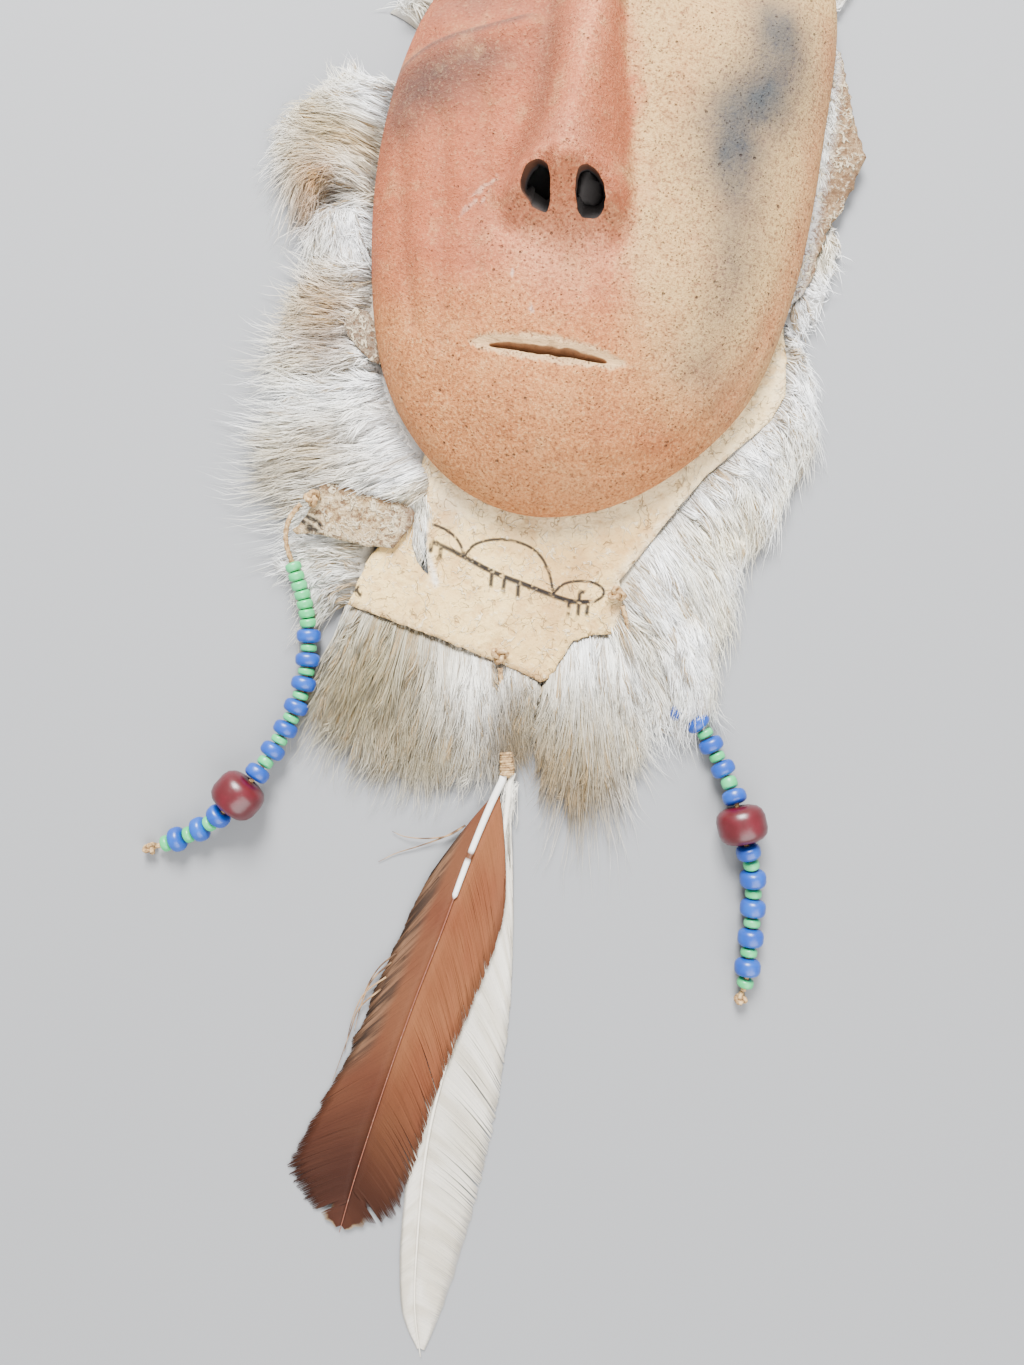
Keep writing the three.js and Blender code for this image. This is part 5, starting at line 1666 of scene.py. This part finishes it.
# Body hairs, drawn together in tufts, and the longer, finer and looser guard hairs. Levels are
# the places of a hair's rings along it, sizes their widths; loose and curl are millimetres.
BODY_HAIR = {
    "part": 0.8, "width": 0.3, "levels": (0.0, 0.5, 1.0), "sizes": (0.8, 1.0),
    "begin": (0.0, 0.84), "pull": (0.5, 0.95), "grow": (0.16, 0.42), "limit": (0.92, 1.06),
    "loose": 0.7, "curl": 0.5, "lift": (0.0, 0.8),
}
GUARD_HAIR = {
    "part": 0.2, "width": 0.19, "levels": (0.0, 0.35, 0.72, 1.0), "sizes": (0.75, 1.0, 0.6),
    "begin": (0.1, 0.85), "pull": (0.05, 0.4), "grow": (0.3, 0.6), "limit": (0.95, 1.42),
    "loose": 3.0, "curl": 1.1, "lift": (0.3, 2.4),
}
FARTHEST = 1.26


def combed(name, coat, seed):
    """The coat with its lines as close points and its tufts scattered over it."""
    random = np.random.default_rng(seed)
    tufts = coat["strands"] // STRANDS_PER_TUFT
    begin = random.uniform(0, 0.86, tufts)
    return {
        **coat,
        "name": name,
        "seed": seed,
        "lines": [spline(coat[key], steps=16) for key in ("roots", "mids", "tips")],
        "tuft_across": random.uniform(-0.01, 1.01, tufts),
        "tuft_begin": begin,
        "tuft_end": begin + random.uniform(0.16, 0.44, tufts),
        "tuft_lean": random.normal(0, 0.6 / coat["locks"], tufts),
        "tuft_lift": random.uniform(-0.8, 1.9, tufts),
        "tuft_reach": random.uniform(0.8, 1.12, tufts),
        "tuft_shade": random.normal(0, 0.26, tufts),
    }


def coat_reach(coat, across):
    """How far the fur reaches at each place across the coat."""
    broad = noise1(across * coat["locks"] * 0.55, coat["seed"] + 41)
    narrow = noise1(across * coat["locks"] * 1.7, coat["seed"] + 42)
    return 0.98 + 0.10 * broad + 0.08 * narrow


RISE_OUT = [-0.1, 0, 0.08, 0.3, 0.76, 1.02, 1.2]
RISE_SHARE = [0.3, 0.42, 0.75, 1.0, 0.7, 0.14, 0.06]


def coat_height(coat, across, out):
    """Height of the fur's surface: steep at the roots, thin at the tips and at the sides."""
    rise = np.interp(out, RISE_OUT, RISE_SHARE)
    side = smooth(np.minimum(across, 1 - across) / 0.09)
    lumps = noise2(across * coat["locks"] * 0.9, out * 2.2, 1, coat["seed"] + 43)
    return coat["height"] * rise * (1 + 0.24 * lumps) * (0.45 + 0.55 * side)


def coat_spot(coat, across, out):
    """Plan place a share across the coat and a share out from its roots."""
    held = np.clip(across, 0, 1)
    root, mid, tip = (along_share(line, held) for line in coat["lines"])
    bend = 2 * mid - (root + tip) / 2
    out = np.asarray(out)[..., None]
    spots = (1 - out) ** 2 * root + 2 * out * (1 - out) * bend + out**2 * tip
    sway = np.stack([noise2(*spots.T, 9, 301), noise2(*spots.T, 9, 302)], axis=-1)
    return spots + sway * 1.5 * np.clip(out, 0, 1)


def below_tag(spots, height):
    """Keeps fur under the suede scrap that lies on it."""
    middle = np.mean(TAG, axis=0)
    under = inside(*spots.T, middle + (np.array(TAG) - middle) * 1.06)
    room = tag_top(*spots.T) - TAG_CLEARANCE
    return np.where(under, np.minimum(height, room), height)


def fur_tint(x, y):
    wide = rough2(x, y, 12, 181, 3)
    colour = painted(linear(FUR_CREAM), FUR_WHITE, smooth(0.62 + wide * 0.8))
    for spot, radius, patch, strength in FUR_PATCHES:
        colour = painted(colour, patch, strength * lump(x, y, spot, radius))
    return colour


def underfur(coat):
    """The thick wool below the hairs, a soft ridged mound."""
    rows, columns = UNDERFUR_ROWS, 7 * coat["locks"] + 1
    out, across = np.meshgrid(np.linspace(-0.1, 0.86, rows), np.linspace(0, 1, columns), indexing="ij")
    out, across = out.ravel(), across.ravel()
    out = out * coat_reach(coat, across)
    spots = coat_spot(coat, across, out)
    height = coat_height(coat, across, out) * 0.86
    height = height + noise2(across * 60, out * 6, 1, 191) * 0.3
    edge = np.zeros((rows, columns), bool)
    edge[-1] = edge[:, 0] = edge[:, -1] = True
    height = np.where(edge.ravel(), UNDERFUR_EDGE, np.maximum(height, 0.5))
    levels = (below_tag(spots, height), np.full(len(spots), UNDERFUR_FOOT))
    points = np.vstack([np.column_stack([spots, level]) for level in levels])
    count = rows * columns
    top = grid_faces(rows, columns)
    rim = [*range(columns), *range(2 * columns - 1, count, columns)]
    rim += [*range(count - 2, count - columns - 1, -1), *range(count - 2 * columns, 0, -columns)]
    faces = [*top.tolist(), *(top[:, ::-1] + count).tolist()]
    for first, second in zip(rim, rim[1:] + rim[:1]):
        faces.append([second, first, first + count, second + count])
    flow = np.column_stack([across * coat["locks"] / 8, out])
    # The wool is tanner and darker than the hairs: partly its own tan, partly painted shade in the gaps
    # between the hairs.
    tone = mix(fur_tint(*points[:, :2].T), linear(FUR_TAN), 0.3) * 0.8
    name = coat["name"] + "_wool"
    piece = new_object(name, points, faces, [UNDERFUR], tint=tone, uv=np.vstack([flow, flow]))
    place(piece, "fur", coat["node"])


def hair_paths(coat, random, kind):
    """Paths, widths and shades of many hairs of one kind at once."""
    guard = kind is GUARD_HAIR
    count = int(coat["strands"] * kind["part"])
    across = random.uniform(0, 1, count)
    reach = coat_reach(coat, across)
    begin = random.uniform(*kind["begin"], count)
    gaps = np.abs(across[:, None] - coat["tuft_across"]) * coat["locks"] * 6
    gaps = gaps + np.abs(begin[:, None] - coat["tuft_begin"]) * 9
    tuft = gaps.argmin(axis=1)
    pull = random.uniform(*kind["pull"], count)
    end = begin + random.uniform(*kind["grow"], count)
    if not guard:
        end = end + (coat["tuft_end"][tuft] - end) * pull
        reach = reach * coat["tuft_reach"][tuft]
    end = np.minimum(end, reach * random.uniform(*kind["limit"], count))
    if guard:
        end = np.minimum(end, FARTHEST)
    end = np.maximum(end, begin + 0.08)
    goal = coat["tuft_across"][tuft] + coat["tuft_lean"][tuft]
    loose, curl = (
        np.clip(random.normal(0, 1, (count, 2)), -1.5, 1.5) * kind[key] for key in ("loose", "curl")
    )
    lift = random.uniform(*kind["lift"], count) + coat["tuft_lift"][tuft] * pull
    levels = []
    for level in kind["levels"]:
        out = begin + (end - begin) * level
        place_across = across + (goal - across) * pull * level**1.4
        spots = coat_spot(coat, place_across, out) + loose * level**2 + curl * math.sin(level * math.pi)
        height = coat_height(coat, across, out) + lift * math.sin(level * 2.4)
        height = below_tag(spots, np.maximum(height - 0.3 * (1 - level), 0.4))
        levels.append(np.column_stack([spots, height]))
    widths = kind["width"] * random.uniform(0.7, 1.35, count)
    calm = 1 - 0.8 * lump(levels[0][:, 0], levels[0][:, 1], (-45, 42), 18)
    shade = coat["tuft_shade"][tuft] + random.normal(0, 0.17, count)
    shade = shade - 0.4 * (random.uniform(0, 1, count) < 0.2)
    shade = np.clip(1.08 + shade * calm, 0.35, 1.3)
    if guard:
        shade = np.maximum(shade, 1.0) + 0.1
    return np.stack(levels, axis=1), widths, shade


def strands_shape(paths, widths, sizes):
    """Thin closed three-sided hairs along many short paths at once."""
    ahead = unit(paths[:, -1] - paths[:, 0])
    side = unit(np.cross(ahead, [0.0, 0.0, 1.0]))
    up = np.cross(side, ahead)
    rings = []
    for level, size in enumerate(sizes):
        reach = (widths * size / 2)[:, None]
        for across, rise in ((1.0, 0.0), (-0.5, 0.75), (-0.5, -0.75)):
            rings.append(paths[:, level] + side * reach * across + up * reach * rise)
    points = np.stack([*rings, paths[:, -1]], axis=1)
    each = points.shape[1]
    last = each - 4
    pattern = [[0, 2, 1], *prism_faces(last)]
    pattern += [[last + at, last + (at + 1) % 3, each - 1] for at in range(3)]
    return points.reshape(-1, 3), repeated(pattern, len(paths), each), each


def hair_tone(paths, points, each, shade):
    """Colour of each point of the hairs: darker at the root as painted shade among the hairs, and tan
    where the hair's shade value is low.
    """
    up = np.tile(np.arange(each) // 3 / (paths.shape[1] - 1), len(paths))
    rooted = paths[:, 0]
    tone = np.repeat(fur_tint(*rooted[:, :2].T) * 0.4, each, axis=0)
    tone = tone + fur_tint(*points[:, :2].T) * 0.6
    # Painted shade: each hair darkens towards its root, where it lies among the others.
    tone = tone * np.repeat(shade, each)[:, None] * (0.76 + 0.26 * up)[:, None]
    tanned = np.repeat(np.clip(1.05 - shade, 0, 0.7), each)
    return np.clip(mix(tone, linear(FUR_TAN), tanned), 0, 1)


def hairs(coat, seed):
    random = np.random.default_rng(seed)
    shapes, tones = [], []
    for kind in (BODY_HAIR, GUARD_HAIR):
        paths, widths, shade = hair_paths(coat, random, kind)
        points, faces, each = strands_shape(paths, widths, kind["sizes"])
        shapes.append((points, faces))
        tones.append(hair_tone(paths, points, each, shade))
    points, faces = merged(shapes)
    piece = new_object(coat["name"], points, faces, [FUR], tint=np.vstack(tones))
    place(piece, "fur", coat["node"])


def crown_coat():
    """Short fur round the forehead, beyond what the photograph shows."""
    turns = np.linspace(0.8, 2.3, 7)
    lines = {}
    for key, lean, out in (("roots", 0, -2), ("mids", 0.03, 8), ("tips", 0.08, 17)):
        lines[key] = mask_edge(turns + lean, out)
    return {**lines, "locks": 14, "height": 7.2, "strands": 2800, "node": "crown_pelt"}


def all_fur():
    for index, (name, coat) in enumerate([*COATS.items(), ("fur_crown", crown_coat())]):
        ready = combed(name, coat, 500 + index)
        underfur(ready)
        hairs(ready, 600 + index)


all_fur()


# Feathers

RED_FEATHER = {
    "left": [
        (7.9, -62, 3), (2, -73, 2.6), (-7, -89, 2), (-15.4, -112, 1.4), (-22.6, -138, 1),
        (-29.5, -163, 0.8), (-39.9, -194, 0.7), (-36.5, -203.5, 0.6),
    ],
    "rachis": [
        (8.5, -62, 3), (5.8, -71, 2.8), (1.6, -88, 2.6), (-3.6, -113, 2.5), (-8.8, -136, 2.4),
        (-14, -163, 2.3), (-19.5, -196, 2), (-21.7, -213, 1.6),
    ],
    "right": [
        (9.1, -62, 3), (10.5, -73, 2.8), (14.6, -90, 2.7), (14.6, -112, 2.6), (9.4, -135, 2.5),
        (2.9, -162, 2.4), (-1.6, -190, 2.1), (-5.4, -206, 1.8),
    ],
    "barbs": 560, "leads": {"left": 0.20, "right": 0.22}, "worn": True, "bare_shaft": 0.26,
}
WHITE_FEATHER = {
    "left": [
        (10.5, -62.2, 2.4), (8.6, -76, 1.2), (4.6, -105, 0.7), (0.6, -140, 0.7), (-2.8, -178, 0.7),
        (-1.8, -215, 0.7), (2.2, -237, 0.7), (9.2, -248.4, 0.7),
    ],
    "rachis": [
        (11.1, -62.2, 2.4), (11.4, -76, 1.2), (10.4, -105, 0.8), (6, -140, 0.8), (2, -178, 0.8),
        (3.6, -215, 0.8), (6, -235, 0.8), (9.9, -249.2, 0.7),
    ],
    "right": [
        (11.7, -62.2, 2.4), (13.4, -78, 1.2), (18.6, -106, 0.7), (22.2, -142, 0.7), (21.6, -180, 0.7),
        (17.6, -216, 0.7), (14.4, -234, 0.7), (10.6, -248.4, 0.7),
    ],
    "barbs": 620, "leads": {"left": 0.10, "right": 0.17}, "worn": False, "bare_shaft": 0.0,
}
BARB_STEPS = 6


def barb_paths(feather, side, seed):
    """Curved barbs from the shaft to one edge and round the tip, leaning to the tip."""
    shaft = spline(feather["rachis"])
    edge = np.vstack([spline(feather[side]), spline(feather["rachis"])[-1:]])
    random = np.random.default_rng(seed)
    count = feather["barbs"]
    at = np.linspace(0.02, 0.985, count)
    lead = feather["leads"][side] * (1 + random.normal(0, 0.02, count))
    root = along_share(shaft, at)
    goal = along_share(edge, at + lead * (1 - at))
    reach = 1 + random.normal(0, 0.006, count) + 0.02 * noise1(at * 70, seed)
    if feather["worn"]:
        if side == "left":
            reach = reach + 0.06 * noise1(at * 26, seed + 5) * smooth((0.7 - at) / 0.1)
        tip = smooth((at - 0.72) / 0.1)
        reach = reach + tip * 0.07 * noise1(at * 160, seed + 3)
        split = np.abs(at - (0.9 if side == "right" else 0.93)) < 0.006
        reach = reach - 0.4 * split
    goal = root + (goal - root) * reach[:, None]
    share = np.linspace(0, 1, BARB_STEPS)[None, :, None]
    ahead = unit(along_share(shaft, np.minimum(at + 0.03, 1)) - root)
    width = np.linalg.norm(goal - root, axis=1)[:, None, None]
    path = root[:, None] + (goal - root)[:, None] * share
    path = path - ahead[:, None] * width * 0.16 * share * (1 - share)
    path[..., 2] += 0.3 * np.sin(share[..., 0] * math.pi)
    path[..., 2] += 0.10 * noise1(at * 45, seed + 1)[:, None] * share[..., 0]
    path[..., 2] = np.maximum(path[..., 2], 0.35)
    return path, at, np.broadcast_to(share[..., 0], path.shape[:2])


def ribbon_shape(paths, width, thickness):
    """Closed three-sided ribbons along many paths."""
    ahead = unit(np.gradient(paths, axis=1))
    side = unit(np.cross(ahead, [0.0, 0.0, 1.0]))
    half = width[..., None] / 2
    points = np.stack([paths + side * half, paths - side * half, paths + [0, 0, thickness]], axis=2)
    each = paths.shape[1] * 3
    turned = [[face[0], *face[:0:-1]] for face in prism_faces(each - 3)]
    pattern = [[0, 1, 2], *turned, [each - 3, each - 1, each - 2]]
    return points.reshape(-1, 3), repeated(pattern, len(paths), each)


def red_tint(x, y, out, at, side):
    """Orange brown with a mottled grey left edge, a dark end and a pale worn fringe."""
    down = at + out * 0.2 * (1 - at)
    colour = painted(linear(RUST), (124, 76, 46), smooth(0.5 + rough2(x, y, 12, 211, 3) * 0.7))
    if side == "left":
        colour = painted(colour, (64, 38, 28), 0.6)
        mottle = noise2(at * 90, out * 5, 1, 215) + 0.6 * noise2(at * 260, out * 3, 1, 216)
        upper = smooth((0.62 - at) / 0.12)
        bars = smooth(0.55 + mottle) * smooth((out - 0.38) / 0.3) * upper
        colour = painted(colour, (104, 82, 62), 0.6 * smooth((out - 0.4) / 0.3) * upper)
        colour = painted(colour, BAR_GREY, np.clip(0.9 * bars, 0, 1))
        begin = 0.5
    else:
        colour = painted(colour, (98, 62, 40), 0.4)
        upper = smooth((0.22 - at) / 0.15)
        colour = painted(colour, (104, 66, 46), 0.35 * upper * smooth((out - 0.5) / 0.3))
        begin = 0.52
    colour = painted(colour, RUST_DARK, 0.92 * smooth((down - begin) / 0.42))
    colour = painted(colour, (84, 46, 34), 0.25 * smooth((down - 0.9) / 0.08))
    fringe = smooth((down - 0.93) / 0.05) * smooth((out - 0.9) / 0.06)
    return painted(colour, (196, 168, 128), 0.85 * fringe)


def white_tint(x, y, out, at, side):
    streak = noise2(at * 60, out * 1.5, 1, 221)
    colour = painted(linear(FEATHER_WHITE), (210, 204, 192), smooth(0.5 + streak))
    return painted(colour, FEATHER_SHADE, 0.25 * smooth(rough2(x, y, 14, 222, 2) + 0.3))


def vane(name, feather, tint_of, slot, node):
    """Both halves of a feather's vane, as close barbs."""
    shapes, tints = [], []
    for index, side in enumerate(("left", "right")):
        path, at, share = barb_paths(feather, side, 230 + index)
        gap = np.linalg.norm(np.diff(path, axis=0), axis=2)
        gap = np.vstack([gap, gap[-1:]])
        width = np.clip(gap * 1.1, 0.30, 0.8) * (1 - 0.7 * share**8)
        points, faces = ribbon_shape(path, width, 0.07)
        shapes.append((points, faces))
        out, where = np.repeat(share.ravel(), 3), np.repeat(at, BARB_STEPS * 3)
        tone = tint_of(*points[:, :2].T, out, where, side)
        lively = np.random.default_rng(241 + index).normal(0, 0.045, len(at))
        tints.append(np.clip(tone * (1 + np.repeat(lively, BARB_STEPS * 3)[:, None]), 0, 1))
    piece = new_object(name, *merged(shapes), [VANE], tint=np.vstack(tints))
    place(piece, slot, node)


def shaft_piece(name, feather, slot, node):
    shaft = spline(feather["rachis"])
    share = np.linspace(0, 1, 110)
    path = along_share(shaft, share) + (0, 0, 0.45)
    path = np.vstack([path[:1] + (0.5, 3.2, 0), path])
    share = np.concatenate([[0], share])
    radius = 0.95 * (1 - 0.85 * share)
    colour = painted(linear(QUILL_WHITE), (228, 220, 202), share)
    if feather["bare_shaft"]:
        covered = share > feather["bare_shaft"]
        radius = np.where(covered, 0.28 * (1 - 0.5 * share), 1.2 - 1.2 * share)
        colour = np.where(covered[:, None], linear((120, 68, 50)), linear((236, 234, 228)))
        nick = np.abs(share - 0.172) < 0.008
        colour = np.where(nick[:, None], linear((96, 60, 40)), colour)
    points, faces = tube(path, radius, 10)
    tint = np.vstack([np.repeat(colour, 10, axis=0), colour[:1], colour[-1:]])
    place(new_object(name, points, faces, [QUILL], tint=tint), slot, node)


DOWN_COUNT = 90


def down_piece():
    """Loose down at the feathers' quills."""
    random = np.random.default_rng(251)
    strays = []
    for _ in range(DOWN_COUNT):
        x = random.uniform(9.5, 13.5)
        start = np.array([x, random.uniform(-66, -61), 3.0])
        end = start + (random.normal(0.3, 1.0), random.uniform(-15, -6), -1.4)
        shaken = random.normal(0, 0.25, (BARB_STEPS, 3)) * (1, 1, 0.3)
        strays.append(np.linspace(start, end, BARB_STEPS) + shaken)
    paths = np.array(strays)
    points, faces = ribbon_shape(paths, np.full(paths.shape[:2], 0.22), 0.1)
    pale = np.repeat(random.uniform(0.75, 1.0, len(paths)), BARB_STEPS * 3)[:, None]
    tone = pale * linear((226, 222, 212))
    down = new_object("quill_down", points, faces, [VANE], tint=tone)
    place(down, "white_feather", "feather_white")


STRAY_BARBS = [
    [(-1, -78, 2), (-6, -82, 2.4), (-13, -84, 2.2), (-20, -84.5, 1.4), (-24, -83.6, 0.8)],
    [(-1, -78, 2), (-7, -82.6, 1.9), (-15, -87, 1.2), (-22, -90.5, 0.7), (-27, -94, 0.5)],
    [(-17, -122, 1.6), (-21.5, -127, 1.8), (-24.6, -134, 1.2), (-26.2, -143, 0.8)],
    [(-18, -125, 1.6), (-23, -131, 2.2), (-25.4, -139, 1.6), (-26.6, -149, 0.8)],
    [(-19, -130, 1.6), (-25, -136, 1.6), (-27.6, -144, 1.2), (-28.8, -156, 0.8)],
    [(-20, -134, 1.5), (-26, -141, 1.9), (-28, -150, 1.2), (-31.2, -166, 0.7)],
]


def stray_barbs():
    """Barbs that have come away from the red feather's left edge."""
    shapes = []
    for route in STRAY_BARBS:
        path = spline(route, steps=8)
        shapes.append(tube(path, 0.32 * np.linspace(1, 0.25, len(path)), 6))
    points, faces = merged(shapes)
    pale = smooth(0.5 + noise2(*points[:, :2].T, 2, 261))
    tone = painted(linear((84, 62, 46)), (160, 128, 94), pale)
    strays = new_object("stray_barbs", points, faces, [VANE], tint=tone)
    place(strays, "rusty_feather", "feather_red")


vane("rusty_feather_vane", RED_FEATHER, red_tint, "rusty_feather", "feather_red")
vane("white_feather_vane", WHITE_FEATHER, white_tint, "white_feather", "feather_white")
shaft_piece("rusty_feather_shaft", RED_FEATHER, "rusty_feather", "feather_red")
shaft_piece("white_feather_shaft", WHITE_FEATHER, "white_feather", "feather_white")
down_piece()
stray_barbs()


# Knots on the hides

KNOTS = {
    "tag_knot": {"centre": (-63.2, 17.2, 10.8), "half": (2.9, 3.2, 2.1), "turn": 0.4},
    "hide_knot": {"centre": (35.6, 2, 7.7), "half": (3.3, 2.9, 2.0), "turn": 1.2},
    "feather_knot": {"centre": (1.8, -22.6, 7.4), "half": (3.3, 3.1, 2.1), "turn": 2.0},
}

for knot_name, knot in KNOTS.items():
    shape = knot_shape(knot["centre"], knot["half"], 0.95, knot["turn"])
    place(new_object(knot_name + "_tied", *shape, [THONG]), "thong", knot_name)
